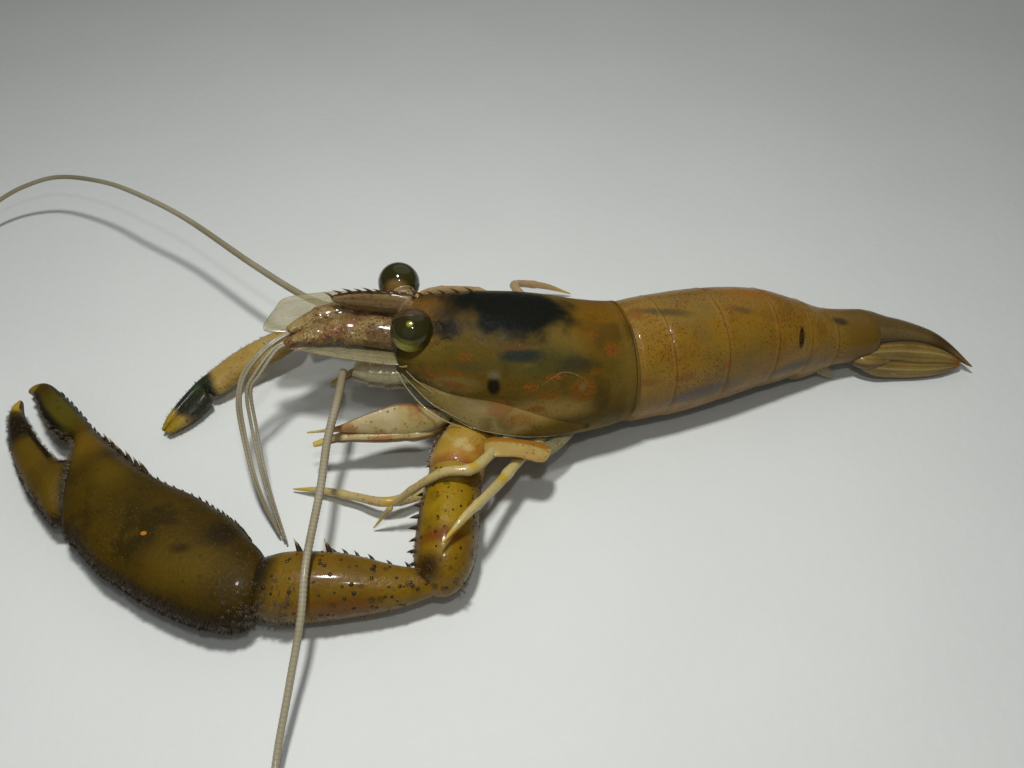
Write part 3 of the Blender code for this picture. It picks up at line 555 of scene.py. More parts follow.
def planted(name, pattern, spots, bake=None):
    """Copies of one modelled shape, each set on its spot (place in metres, up, lean, size), as one mesh.

    `bake` gives each copy the place of its root on the shell's own unwrap.
    """
    base = np.array([vert.co for vert in pattern.data.vertices])
    faces = [np.array(face.vertices[:]) for face in pattern.data.polygons]
    places, looks = [], []
    for number, (root, up, lean, size) in enumerate(spots):
        up = Vector(up).normalized()
        lean = Vector(lean) - up * Vector(lean).dot(up)
        lean = lean.normalized() if lean.length > 1e-6 else up.orthogonal().normalized()
        turn = np.array(Matrix((lean, up.cross(lean), up)).transposed()) * size
        places.append(base @ turn.T + np.array(root))
        looks.extend((face + number * len(base)).tolist() for face in faces)
    mesh = bpy.data.meshes.new(name)
    mesh.from_pydata(np.vstack(places).tolist(), [], looks)
    tall = base[:, 2] / base[:, 2].max()
    heights = np.tile(tall, len(spots)).astype(np.float32)
    mesh.attributes.new("share", "FLOAT", "POINT").data.foreach_set("value", heights)
    if bake is not None:
        flat = base[:, :2] / np.abs(base[:, :2]).max() * PATCH
        where = (np.array(bake)[:, None, :] + flat[None]).reshape(-1, 2)
        corners = np.empty(len(mesh.loops), np.int32)
        mesh.loops.foreach_get("vertex_index", corners)
        unwrap = mesh.uv_layers.new(name="OFBake")
        unwrap.data.foreach_set("uv", where[corners].ravel().astype(np.float32))
    mesh.shade_smooth()
    piece = bpy.data.objects.new(name, mesh)
    bpy.context.scene.collection.objects.link(piece)
    return piece


BACK_OFF = 3.0  # a line starts this many millimetres before its place on the route


def spots_on(tree, route, count, inward, lean, tall, jitter=0.12, size_jitter=0.15):
    """Evenly spread places on a shell, found by straight lines shot inward through a route."""
    inward = Vector(inward).normalized()
    found = []
    for spot in smooth(route, count):
        start = at(*(Vector(spot) - inward * BACK_OFF))
        hit = tree.ray_cast(start, inward)[0]
        if hit is None:
            continue
        up = -inward + Vector(lean) + Vector([random.uniform(-jitter, jitter) for _ in range(3)])
        found.append((hit, up, lean, tall * random.uniform(1 - size_jitter, 1 + size_jitter)))
    return found


def bead(name, route, radius, slot, coat, sides=8, count=40):
    """A thin raised line along a route of places in millimetres, tapered at both ends."""
    sizes = radius * np.sin(np.pi * np.linspace(0.04, 0.96, count)) ** 0.4
    return keep(drawn_out(name, round_rings(smooth(route, count), sizes, sides), rounding=0), slot, coat)


def own_mm(place):
    """A place in the frame's metres, back in the shrimp's own millimetres."""
    return np.array(place) / MM + MIDDLE


print("copy helpers ready")


# %% [markdown]
# The finishes of the shell. The carapace is olive and amber with a nearly black field over its front half,
# rusty patches on its flank and fine freckles everywhere. The tail is a warmer amber, the legs are paler,
# and the great claw is a deep olive brown with rust near its fingers.

# %% Shell finishes
RUST, DIM_RUST, YELLOW = (0.26, 0.075, 0.006), (0.16, 0.054, 0.008), (0.52, 0.36, 0.04)


def rusty(centre, reach, tint=0.55, wander=0.6):
    """Two layers that make one rusty patch: a soft stain, and close fine dots inside it."""
    return [(stain(centre, reach, tint, 0.5, wander), DIM_RUST),
            (dots(5200, 0.36, 0.9, stain(centre, reach, 1, 0.5, wander)), RUST)]


carapace_finish = finish(
    "carapace_shell", (0.092, 0.058, 0.007),
    [(cloud(150, 0.4, 0.65, 0.7), (0.15, 0.098, 0.018)),
     (band(-1.2, -0.10, 0.85, 0.5, "up"), (0.22, 0.165, 0.060)),
     (stain((-6.6, -7.2, 8.4), (4.2, 3.4, 2.6), 0.8, 0.8), (0.20, 0.145, 0.045)),
     (stain((-2.0, -9.2, 7.4), (6.5, 2.6, 1.7), 0.75, 0.6), (0.22, 0.165, 0.060)),
     (stain((3.4, -9.0, 7.6), (5.6, 2.4, 1.7), 0.9, 0.8), (0.27, 0.175, 0.045)),
     (stain((-4.2, -7.4, 9.6), (2.6, 1.6, 1.1), 0.6, 0.8), (0.20, 0.140, 0.040)),
     (stain((4.6, -6.6, 10.8), (4.0, 1.7, 1.2), 0.7, 0.8), (0.050, 0.024, 0.003)),
     (stain((7.6, -1.4, 12.2), (4.6, 6.0, 3.6), 0.85, 0.8), (0.165, 0.076, 0.004)),
     (stain((-6.6, -1.6, 13.4), (4.0, 3.4, 2.0), 0.8, 0.7), (0.135, 0.060, 0.012)),
     (stain((2.6, -6.4, 11.2), (6.0, 1.7, 1.6), 0.6, 0.7, 0.6), (0.055, 0.058, 0.014)),
     (cloud(340, 0.5, 0.66, 0.55), (0.045, 0.030, 0.006)),
     (stain((0.4, -1.8, 13.5), (7.4, 4.5, 2.6), 0.98, 0.45, 0.9), (0.003, 0.005, 0.004)),
     (stain((-5.4, -4.2, 12.8), (1.9, 1.5, 1.0), 0.8, 0.7, 0.7), (0.008, 0.010, 0.010)),
     (stain((0.6, -6.1, 11.6), (2.3, 0.8, 0.7), 0.85, 0.6, 0.6), (0.010, 0.018, 0.014)),
     # painted shade: a grey-brown shadow laid on the flank under the dark field
     (stain((5.2, -6.3, 10.8), (2.6, 0.9, 0.8), 0.7, 0.7, 0.6), (0.030, 0.024, 0.012)),
     (stain((-3.2, -6.6, 10.9), (2.4, 0.7, 0.6), 0.5, 0.7, 0.6), (0.05, 0.045, 0.018)),
     (stain((-1.5, -7.7, 9.7), (0.75, 1.3, 1.0), 0.95, 0.5), (0.010, 0.006, 0.003)),
     (stain((-1.5, -7.5, 10.6), (0.8, 1.0, 0.5), 0.6, 0.8), (0.14, 0.13, 0.08)),
     (stain((1.2, -6.6, 11.0), (0.7, 0.5, 0.4), 0.5, 0.8), (0.17, 0.13, 0.02)),
     *rusty((-6.7, -6.4, 9.9), (1.6, 1.0, 0.45)), *rusty((-4.7, -6.7, 10.3), (1.4, 0.9, 0.45)),
     *rusty((-4.6, -7.3, 9.4), (1.9, 0.9, 0.40)), *rusty((-3.8, -6.1, 11.5), (0.8, 0.7, 0.5), 0.3),
     *rusty((0.2, -5.6, 12.1), (1.7, 0.5, 0.4), 0.2), *rusty((1.6, -7.9, 9.7), (0.9, 0.9, 0.40)),
     *rusty((3.0, -8.1, 9.0), (1.3, 0.8, 0.40)), *rusty((3.6, -7.2, 10.3), (1.2, 0.7, 0.4), 0.4),
     *rusty((2.1, -8.6, 7.8), (0.9, 0.9, 0.42)), *rusty((5.9, -7.6, 9.1), (1.5, 1.2, 1.2), 0.55, 0.9),
     *rusty((-1.0, -8.7, 8.1), (1.7, 1.2, 0.8)), *rusty((0.6, -9.4, 7.3), (1.5, 1.0, 0.6), 0.4),
     *rusty((7.6, -6.6, 10.1), (1.6, 0.6, 0.35), 0.35), *rusty((6.4, -4.0, 11.7), (1.4, 0.8, 0.5), 0.2),
     *rusty((8.3, -4.7, 10.9), (0.85, 0.8, 0.8), 0.8, 0.9),
     (stain((5.9, -7.4, 9.3), (0.55, 1.0, 0.5), 0.55, 0.8), (0.16, 0.115, 0.04)),
     (dots(4600, 0.20, 0.55), (0.040, 0.016, 0.004)),
     (dots(1500, 0.10, 0.5), (0.02, 0.010, 0.004)),
     (band(0.968, 0.980, 0.8, 0.004), (0.045, 0.018, 0.004)),
     (band(0.90, 0.965, 0.4, 0.03), (0.17, 0.095, 0.014))],
    gloss=(0.40, 0.58), coat=0.0, shine=0.06,
    relief=[(PITS, 0.02), (cloud(420, 0.3, 0.7, 1), 0.02),
            ((*cloud(1500, 0.45, 0.6, 1), stain((-6.3, -4.4, 12.4), (2.0, 2.0, 1.6))), 0.12)],
    soft=0.08)
tail_finish = finish(
    "tail_shell", (0.235, 0.125, 0.011),
    [(cloud(170, 0.42, 0.62, 0.6), (0.26, 0.155, 0.022)),
     (cloud(420, 0.5, 0.66, 0.4), (0.165, 0.075, 0.010)),
     (stain((22.0, 4.5, 11.0), (12.0, 4.0, 3.0), 0.8, 0.8), (0.30, 0.115, 0.006)),
     (stain((36.6, 4.0, 4.0), (5.6, 9.0, 7.0), 0.92, 0.9), (0.085, 0.042, 0.005)),
     (cloud(230, 0.45, 0.62, 0.5), (0.155, 0.112, 0.024)),
     (band(-1.2, -0.35, 0.75, 0.35, "up"), (0.20, 0.155, 0.070)),
     (stain((13.4, -0.5, 11.3), (4.5, 0.7, 0.6), 0.75, 0.8, 0.6), (0.050, 0.040, 0.016)),
     (stain((20.6, 0.8, 10.3), (3.6, 0.6, 0.6), 0.60, 0.8, 0.6), (0.065, 0.045, 0.016)),
     (stain((30.9, 3.7, 6.3), (1.3, 0.30, 0.30), 0.9, 0.6, 0.8), (0.022, 0.012, 0.006)),
     *rusty((11.6, -5.5, 7.9), (1.4, 0.8, 0.5), 0.5), *rusty((15.0, -4.9, 7.6), (1.2, 0.8, 0.5), 0.5),
     *rusty((18.9, -3.4, 7.6), (0.7, 0.8, 0.5), 0.7), *rusty((10.6, -0.9, 11.3), (0.9, 1.0, 0.6), 0.6),
     *rusty((23.4, 1.0, 9.0), (1.2, 0.8, 0.6), 0.3), *rusty((28.6, 2.2, 6.6), (1.2, 0.8, 0.6), 0.3),
     (stain((17.0, -4.6, 5.3), (7.5, 2.6, 1.3), 0.9, 0.8), (0.085, 0.075, 0.060)),
     (stain((26.5, -0.8, 4.5), (5.0, 2.2, 0.9), 0.9, 0.8), (0.085, 0.070, 0.050)),
     # pale orange belly edge: partly the shell's own colour, partly painted light bounced up from the paper
     (stain((18.0, -4.0, 2.8), (8.0, 3.0, 1.0), 0.75, 0.8), (0.36, 0.18, 0.07)),
     (stain((26.3, 0.5, 7.0), (0.36, 1.3, 1.1), 0.97, 0.3, 0.9), (0.014, 0.005, 0.002)),
     (stain((23.6, -2.6, 4.2), (0.22, 1.0, 1.6), 0.55, 0.6, 0.8), (0.06, 0.025, 0.006)),
     (dots(4400, 0.30, 0.9), (0.165, 0.052, 0.003)),
     (dots(2700, 0.20, 0.8), (0.13, 0.035, 0.003)),
     (dots(1900, 0.10, 0.7), (0.055, 0.020, 0.003)),
     (stain((33.2, 4.4, 4.6), (3.4, 9.0, 7.0), 0.75, 0.8), (0.125, 0.070, 0.010)),
     (stain((31.0, 3.7, 6.2), (1.3, 0.7, 0.6), 0.85, 0.6), (0.030, 0.018, 0.005)),
     (band(0.90, 0.975, 0.30, 0.03), (0.30, 0.17, 0.035)),
     (band(0.978, 0.992, 0.75, 0.004), (0.07, 0.028, 0.006))],
    gloss=(0.30, 0.5), coat=0.22, relief=[(PITS, 0.015)], soft=0.10, shine=0.14)
fan_finish = finish(
    "tail_fan", (0.25, 0.165, 0.040),
    [(cloud(300, 0.4, 0.65, 0.6), (0.15, 0.090, 0.020)),
     (band(-0.2, 0.12, 0.7, 0.06, "across"), (0.36, 0.27, 0.10)),
     (band(0.25, 0.50, 0.55, 0.14, "across"), (0.10, 0.065, 0.018)),
     (band(0.60, 1.20, 0.8, 0.15, "across"), (0.105, 0.065, 0.016)),
     (band(-0.70, -0.40, 0.5, 0.14, "across"), (0.12, 0.080, 0.022)),
     (band(-1.2, -0.90, 0.8, 0.05, "across"), (0.08, 0.040, 0.008)),
     (band(0.86, 1.3, 0.8, 0.08), (0.25, 0.09, 0.012)),
     (dots(4300, 0.22, 0.5), (0.10, 0.035, 0.006))],
    gloss=(0.24, 0.42), coat=0.3, soft=0.15,
    relief=[(PITS, 0.015), (band(-0.4, 0.4, 1, 0.3, "across"), 0.06)])
telson_finish = finish(
    "telson_shell", (0.105, 0.066, 0.014),
    [(cloud(300, 0.4, 0.65, 0.6), (0.145, 0.095, 0.026)),
     (band(-1.0, -0.3, 0.6, 0.3, "across"), (0.17, 0.12, 0.045)),
     (stain((42.4, 4.6, 2.6), (2.4, 1.6, 1.6), 0.7, 0.8), (0.045, 0.018, 0.003)),
     (band(0.90, 1.3, 0.85, 0.06), (0.30, 0.12, 0.02)),
     (band(-1.2, -0.9, 0.7, 0.05, "across"), (0.035, 0.014, 0.004)),
     (dots(4300, 0.22, 0.6), (0.045, 0.016, 0.004))],
    gloss=(0.26, 0.42), coat=0.25, relief=[(PITS, 0.015)], soft=0.06)
leg_finish = finish(
    "leg_shell", (0.52, 0.43, 0.17),
    [(cloud(260, 0.44, 0.62, 0.5), (0.44, 0.30, 0.12)),
     (dots(3300, 0.26, 0.7), (0.36, 0.10, 0.015)),
     (band(0.0, 0.30, 0.85, 0.10), (0.36, 0.17, 0.02)),
     (stain((0.0, 12.0, 3.6), (16.0, 6.5, 7.0), 0.8, 0.6), (0.42, 0.26, 0.12)),
     (stain((-10.4, -13.9, 2.0), (0.8, 0.8, 1.2), 0.95, 0.5, 0.4), YELLOW),
     (stain((-3.1, -14.4, 7.5), (0.75, 0.8, 1.2), 0.95, 0.5, 0.4), YELLOW),
     (stain((-0.9, -14.2, 5.5), (0.75, 0.8, 1.2), 0.95, 0.5, 0.4), YELLOW),
     (band(0.90, 1.5, 0.9, 0.04), (0.55, 0.40, 0.05))],
    gloss=(0.2, 0.36), coat=0.35, relief=[(PITS, 0.015)], soft=0.3, clear=0.86)
mouth_finish = finish(
    "mouth_limb_shell", (0.42, 0.33, 0.12),
    [(cloud(260, 0.44, 0.62, 0.6), (0.50, 0.42, 0.26)),
     (cloud(340, 0.50, 0.62, 0.75), (0.30, 0.13, 0.035)),
     (band(-1.2, -0.90, 0.4, 0.06, "across"), (0.32, 0.15, 0.03)),
     (band(0.86, 1.4, 0.7, 0.06, "across"), (0.14, 0.05, 0.012)),
     (dots(1900, 0.22, 0.6), (0.20, 0.05, 0.01)),
     (band(0.90, 1.5, 0.9, 0.05), (0.55, 0.42, 0.08))],
    gloss=(0.18, 0.34), coat=0.5, relief=[(PITS, 0.015)], soft=0.3)
stem_finish = finish(
    "stem_shell", (0.22, 0.145, 0.050),
    [(cloud(260, 0.42, 0.6, 0.6), (0.11, 0.045, 0.018)),
     (stain((-14.0, 1.2, 11.4), (5.0, 1.2, 1.4), 0.7, 0.7), (0.24, 0.16, 0.035)),
     (cloud(500, 0.5, 0.62, 0.7), (0.32, 0.23, 0.08)),
     (cloud(900, 0.55, 0.66, 0.6), (0.20, 0.05, 0.012)),
     (stain((-11.0, -5.2, 7.6), (5.0, 2.0, 2.0), 0.85, 0.6), (0.34, 0.28, 0.15)),
     (dots(3300, 0.24, 0.8), (0.05, 0.018, 0.008))],
    gloss=(0.12, 0.3), coat=0.6, soft=0.12,
    relief=[(cloud(620, 0.35, 0.65, 1), 0.22),
            (("spots", dict(Scale=1500, Size=0.1, Blur=0.3, Spread=0.5), 1), 0.10)])
claw_finish = finish(
    "great_claw_shell", (0.040, 0.023, 0.0010),
    [(cloud(120, 0.42, 0.62, 0.8), (0.066, 0.039, 0.0015)),
     (cloud(330, 0.5, 0.64, 0.7), (0.020, 0.013, 0.0015)),
     (stain((-24.5, -21.8, 5.0), (5.5, 3.5, 4.0), 0.75, 0.9), (0.100, 0.060, 0.002)),
     (stain((-33.2, -13.4, 5.0), (2.8, 3.4, 2.2), 0.7, 0.9), (0.110, 0.066, 0.002)),
     (stain((-36.6, -9.8, 4.8), (3.4, 3.8, 2.8), 0.8, 0.9), (0.150, 0.085, 0.004)),
     (stain((-40.2, -5.2, 3.8), (3.8, 4.8, 3.0), 0.85, 0.8), (0.085, 0.070, 0.006)),
     (stain((-35.0, -9.2, 5.0), (1.8, 1.5, 1.4), 0.4, 0.9), (0.16, 0.055, 0.003)),
     (stain((-22.4, -19.0, 5.4), (2.3, 2.4, 1.6), 0.85, 0.8, 0.7), (0.016, 0.009, 0.003)),
     (stain((-30.2, -17.0, 5.2), (2.6, 3.0, 1.4), 0.5, 0.8, 0.7), (0.026, 0.018, 0.002)),
     (stain((-25.2, -20.6, 5.4), (1.3, 0.7, 1.2), 0.8, 0.8, 0.7), (0.018, 0.007, 0.002)),
     (stain((-28.3, -19.3, 5.7), (0.34, 0.24, 0.4), 0.95, 0.4, 0.9), (0.42, 0.17, 0.02)),
     (band(-1.2, -0.80, 0.8, 0.16, "across"), (0.024, 0.014, 0.003)),
     (band(0.80, 1.2, 0.9, 0.16, "across"), (0.012, 0.011, 0.004)),
     ((*band(-1.3, -0.30, 0.95, 0.35, "across"), stain((-41.5, -4.4, 2.8), (4.6, 5.0, 6.0), 1, 0.4)),
      (0.006, 0.009, 0.006)),
     ((*band(0.55, 1.3, 0.95, 0.25, "across"), stain((-40.5, -4.0, 2.8), (5.6, 6.0, 6.0), 1, 0.4)),
      (0.006, 0.010, 0.006)),
     (stain((-44.4, -1.8, 2.6), (1.0, 1.2, 3.0), 0.9, 0.6), (0.26, 0.18, 0.02)),
     (dots(900, 0.16, 0.25), (0.010, 0.006, 0.002)),
     (dots(3300, 0.22, 0.6), (0.110, 0.058, 0.004))],
    gloss=(0.42, 0.62), coat=0.06, shine=0.10, relief=[(PITS, 0.03)])
finger_finish = finish(
    "great_finger_shell", (0.105, 0.062, 0.004),
    [(cloud(200, 0.42, 0.62, 0.7), (0.070, 0.040, 0.003)),
     (band(-0.2, 0.07, 0.9, 0.05), (0.010, 0.007, 0.002)),
     (band(0.50, 0.88, 0.97, 0.12), (0.012, 0.007, 0.003)),
     (band(0.84, 1.5, 0.97, 0.05), (0.42, 0.28, 0.03)),
     (band(-1.2, -0.80, 0.9, 0.16, "across"), (0.012, 0.008, 0.003)),
     ((*band(0.55, 1.2, 0.95, 0.20, "across"), cloud(420, 0.35, 0.5, 1)), (0.010, 0.007, 0.003)),
     (dots(3300, 0.22, 0.5), (0.20, 0.10, 0.012))],
    gloss=(0.36, 0.55), coat=0.1, relief=[(PITS, 0.03)], shine=0.12)
arm_finish = finish(
    "great_arm_shell", (0.150, 0.082, 0.003),
    [(cloud(150, 0.42, 0.6, 0.7), (0.205, 0.118, 0.005)),
     (stain((-5.2, -17.0, 5.5), (3.2, 4.6, 4.0), 0.85, 0.7), (0.30, 0.185, 0.004)),
     (cloud(420, 0.5, 0.62, 0.4), (0.100, 0.048, 0.002)),
     (dots(760, 0.20, 0.6), (0.030, 0.018, 0.004)),
     (dots(3300, 0.24, 0.8), (0.17, 0.050, 0.004)),
     (stain((-19.4, -22.0, 4.0), (2.4, 4.0, 3.5), 0.95, 0.6), (0.012, 0.010, 0.004)),
     (stain((-5.0, -13.2, 5.6), (3.4, 2.4, 3.4), 0.8, 0.8), (0.34, 0.22, 0.03)),
     (stain((-13.5, -19.4, 4.4), (7.0, 0.8, 1.4), 0.8, 0.8), (0.030, 0.014, 0.003)),
     (stain((-13.0, -24.4, 3.6), (6.0, 0.9, 1.6), 0.6, 0.8), (0.13, 0.035, 0.003)),
     (stain((-6.2, -21.6, 4.4), (1.6, 1.4, 2.0), 0.92, 0.7), (0.022, 0.009, 0.003)),
     (stain((-5.4, -19.6, 5.9), (3.2, 0.9, 2.4), 0.85, 0.8, 0.6), (0.15, 0.034, 0.003)),
     (stain((-7.6, -17.0, 4.8), (0.9, 4.6, 2.2), 0.8, 0.8), (0.035, 0.016, 0.004)),
     (stain((-4.8, -12.4, 5.6), (2.8, 0.8, 2.0), 0.80, 0.8, 0.6), (0.17, 0.045, 0.004))],
    gloss=(0.30, 0.5), coat=0.22, relief=[(PITS, 0.025), (cloud(600, 0.3, 0.7, 1), 0.04)],
    shine=0.12)
bump_finish = finish("claw_bump", (0.026, 0.014, 0.003), [(cloud(700, 0.4, 0.6, 0.6), (0.055, 0.028, 0.004))],
                     gloss=(0.24, 0.4), coat=0.25)
base_finish = finish(
    "great_base_shell", (0.36, 0.22, 0.030),
    [(cloud(200, 0.42, 0.62, 0.7), (0.42, 0.30, 0.07)),
     (cloud(420, 0.5, 0.62, 0.6), (0.34, 0.12, 0.012)),
     (stain((-6.4, -10.0, 4.6), (0.9, 3.0, 2.0), 0.8, 0.7), (0.26, 0.06, 0.01)),
     (cloud(300, 0.56, 0.66, 0.6), (0.50, 0.42, 0.18)),
     (band(0.86, 1.3, 0.7, 0.08), (0.22, 0.055, 0.006)),
     (dots(3300, 0.22, 0.7), (0.20, 0.06, 0.008))],
    gloss=(0.24, 0.42), coat=0.3, relief=[(PITS, 0.02)], soft=0.15)
small_claw_finish = finish(
    "small_claw_shell", (0.40, 0.28, 0.080),
    [(cloud(300, 0.42, 0.6, 0.7), (0.30, 0.18, 0.035)),
     (dots(1200, 0.22, 0.7), (0.34, 0.25, 0.08)),
     (stain((-31.6, -4.9, 1.2), (1.5, 1.4, 3.0), 0.95, 0.5, 0.25), (0.30, 0.20, 0.015)),
     (stain((-29.6, -1.9, 1.8), (2.5, 3.0, 3.0), 0.97, 0.35, 0.35), (0.012, 0.020, 0.014)),
     (stain((-29.4, -1.4, 1.9), (1.1, 0.9, 1.5), 0.7, 0.7, 0.4), (0.030, 0.055, 0.018)),
     (stain((-31.7, -5.0, 1.0), (1.1, 1.0, 2.0), 0.95, 0.5, 0.25), (0.30, 0.20, 0.015)),
     (dots(2400, 0.22, 0.6), (0.13, 0.05, 0.008))],
    gloss=(0.34, 0.55), coat=0.05, shine=0.10, relief=[(PITS, 0.03)], soft=0.1)
whip_finish = finish(
    "whip_shell", (0.34, 0.30, 0.20),
    [(("rings", dict(track="run", Step=0.34, Share=0.3), 0.5), (0.17, 0.14, 0.075)),
     (cloud(90, 0.42, 0.6, 0.6), (0.20, 0.165, 0.085))],
    gloss=(0.3, 0.5), coat=0.2)
scale_finish = finish(
    "scale_blade", (0.40, 0.36, 0.19),
    [(cloud(260, 0.42, 0.62, 0.6), (0.26, 0.21, 0.09)),
     (band(-0.7, -0.62, 0.4, 0.03, "across"), (0.18, 0.12, 0.04)),
     (band(0.1, 0.17, 0.35, 0.03, "across"), (0.20, 0.15, 0.06)),
     (band(-0.3, -0.22, 0.4, 0.03, "across"), (0.55, 0.52, 0.36)),
     (band(-1.2, -0.95, 0.85, 0.03, "across"), (0.12, 0.05, 0.010)),
     (band(0.55, 0.64, 0.5, 0.03, "across"), (0.16, 0.085, 0.025)),
     (band(0.95, 1.20, 0.8, 0.03, "across"), (0.14, 0.06, 0.014)),
     (dots(3300, 0.22, 0.5), (0.10, 0.04, 0.01))],
    gloss=(0.14, 0.28), coat=0.4, relief=[(PITS, 0.01)], soft=0.2, clear=0.5)
blade_finish = finish(
    "rostrum_blade", (0.34, 0.25, 0.11),
    [(cloud(260, 0.42, 0.62, 0.7), (0.17, 0.095, 0.025)),
     (band(-0.35, -0.1, 0.45, 0.08, "across"), (0.12, 0.06, 0.014)),
     (band(0.45, 0.75, 0.4, 0.08, "across"), (0.13, 0.06, 0.01)),
     (band(0.0, 0.35, 0.7, 0.25), (0.16, 0.09, 0.03)),
     (dots(2300, 0.24, 0.6), (0.10, 0.035, 0.01))],
    gloss=(0.16, 0.3), coat=0.5, relief=[(PITS, 0.01)], soft=0.5, clear=0.8)
tooth_finish = finish("tooth_brown", (0.055, 0.026, 0.006),
                      [(cloud(900, 0.4, 0.6, 0.6), (0.12, 0.055, 0.012))], gloss=(0.2, 0.3), coat=0.4)
thorn_finish = finish(
    "thorn_horn", (0.035, 0.02, 0.005),
    [(band(0.45, 1.5, 0.9, 0.35), (0.42, 0.33, 0.16))], gloss=(0.16, 0.3), coat=0.5, soft=0.1)
print("finishes:", len(bpy.data.materials))


# %% [markdown]
# The carapace is one closed shield over head and chest, keeled in front where the rostrum rises from it.
# Its sections are read from a smooth curve through seven measured ones, rolled a little away from the
# claw, and its rear rim turns in over the first hoop of the tail.

# %% Carapace
CARAPACE = ((-9.2, -1.7, 9.7, 3.5, 3.7, 3.0), (-7.4, -1.9, 9.3, 4.3, 4.4, 4.2),
            (-5.0, -2.2, 8.6, 5.2, 5.1, 5.6), (-1.0, -2.6, 7.6, 5.9, 5.8, 6.8),
            (3.4, -2.7, 6.7, 6.0, 5.85, 6.6), (6.6, -2.3, 6.3, 5.65, 5.6, 6.3),
            (9.3, -1.6, 6.0, 5.2, 5.35, 6.0))
TRUNK_SIDES, TRUNK_POWER = 48, 2.15


def trunk_rings(rows, aheads, lean=0.0, keel=None, low_power=None, hollow=0.0, swell=0.0):
    """Rings across the trunk, from rows of x, y, z, half width, rise and drop; `swell` makes side lobes."""
    rings = []
    for index, (row, ahead) in enumerate(zip(rows, aheads)):
        share = index / (len(rows) - 1)
        side = np.cross((0, 0, 1), ahead)
        side /= np.linalg.norm(side)
        up = np.cross(ahead, side) + lean * side * (1 if side[1] > 0 else -1)
        lobe = 1 + swell * (0.4 + 0.6 * max(0.0, math.sin(math.pi * share)) ** 0.7)
        rings.append(outline(row[:3], side * row[3], up * row[4], up * row[5] * lobe, TRUNK_SIDES,
                             TRUNK_POWER, low_power(share) if low_power else None,
                             keel(share) if keel else 0.0, hollow))
    return np.array(rings)


def shrunk(ring, share, shift):
    """A ring drawn in towards its own middle and moved on."""
    middle = ring.mean(axis=0)
    return middle + (ring - middle) * share + shift


shield_rows = smooth(CARAPACE, 40)
LEAN, KEEL, KEEL_ENDS = 0.07, 0.5, 0.62  # the roll to one side, the ridge and how far back it goes
shield = trunk_rings(shield_rows, headings(shield_rows[:, :3]), LEAN,
                     lambda share: KEEL * max(0.0, 1 - share / KEEL_ENDS), lambda share: 2.1 - 0.5 * share)
rim = [shrunk(shield[-1], 1.012, (0.12, 0, 0)), shrunk(shield[-1], 0.985, (0.22, 0, 0)),
       shrunk(shield[-1], 0.93, (0.0, 0, 0))]
brow = [shrunk(shield[0], 0.55, (-0.5, 0, -0.1)), shrunk(shield[0], 0.9, (-0.2, 0, 0))]
shares = [-0.05, -0.02, *np.linspace(0, 0.98, len(shield)), 0.985, 1.0, 1.05]
carapace = keep(drawn_out("carapace_shield", [*brow, *shield, *rim], shares=shares), "carapace_shell",
                carapace_finish, "carapace")
print("carapace faces:", len(carapace.data.polygons))


# %% [markdown]
# The rostrum is a thin blade over the eyes. A row of dark teeth runs along its edge and goes on behind the
# eyes, over a dark line. The carapace has a fold over the leg bases, thin rims on the cheek, two creases
# on the flank, the rear one pale with a painted glint along it, and a few spines beside the eyes.

# %% Rostrum
ROSTRUM = ((-8.3, -1.1, 13.6, -8.3, -1.3, 11.6, 0.75), (-10.5, -1.0, 13.9, -10.5, -1.1, 11.7, 0.55),
           (-12.8, -0.8, 13.8, -12.8, -0.9, 11.7, 0.42), (-14.4, -0.6, 13.4, -14.4, -0.7, 12.1, 0.34),
           (-15.4, -0.5, 13.0, -15.4, -0.5, 12.7, 0.2))
keep(drawn_out("rostrum_blade_piece", blade_rings(ROSTRUM, 24, 20, 1.6)), "carapace_shell", blade_finish,
     "rostrum")
print("rostrum set")


# %% Fold, rims and creases
FOLD = ((-8.6, -6.0, 8.9, -8.6, -6.5, 8.1, 0.14), (-6.9, -7.0, 8.9, -6.9, -7.8, 7.6, 0.20),
        (-5.4, -7.6, 8.7, -5.4, -8.8, 7.3, 0.24), (-3.4, -8.0, 8.5, -3.4, -10.0, 7.1, 0.26),
        (-1.0, -8.2, 8.3, -1.0, -10.4, 6.7, 0.28), (1.5, -8.3, 7.6, 1.5, -10.0, 5.8, 0.26),
        (4.1, -8.3, 6.6, 4.1, -9.0, 4.9, 0.22), (6.8, -7.7, 6.0, 6.8, -7.9, 4.5, 0.16))
keep(drawn_out("carapace_fold", blade_rings(FOLD, 40, 20, 1.8)), "carapace_shell", carapace_finish)
RIMS = {
    "fold_rim": (((-6.9, -7.8, 7.62), (-5.4, -8.8, 7.32), (-3.4, -10.0, 7.12), (-1.0, -10.4, 6.72),
                  (1.5, -10.0, 5.82), (4.1, -9.0, 4.92), (6.6, -8.0, 4.55)), 0.055),
    "cheek_rim_1": (((-9.3, -5.9, 9.3), (-8.3, -6.8, 8.7), (-6.9, -7.9, 7.9), (-5.3, -8.9, 7.6),
                     (-3.6, -9.9, 7.45)), 0.06),
    "cheek_rim_2": (((-9.7, -5.6, 9.2), (-8.9, -6.7, 8.4), (-7.4, -8.1, 7.5), (-5.7, -9.2, 7.1),
                     (-4.2, -9.9, 7.0)), 0.08),
    "cheek_rim_3": (((-8.9, -5.9, 9.6), (-7.9, -6.7, 9.1), (-6.6, -7.5, 8.6), (-5.3, -8.1, 8.3)), 0.05),
}
for name, (route, radius) in RIMS.items():
    bead(name, route, radius, "carapace_shell", scale_finish)
crest = skin_of("rostrum_blade_piece", "carapace_shield")
FROM_CAMERA = (0, 0.669, -0.743)  # the way the camera looks, which puts the creases where the photo has them
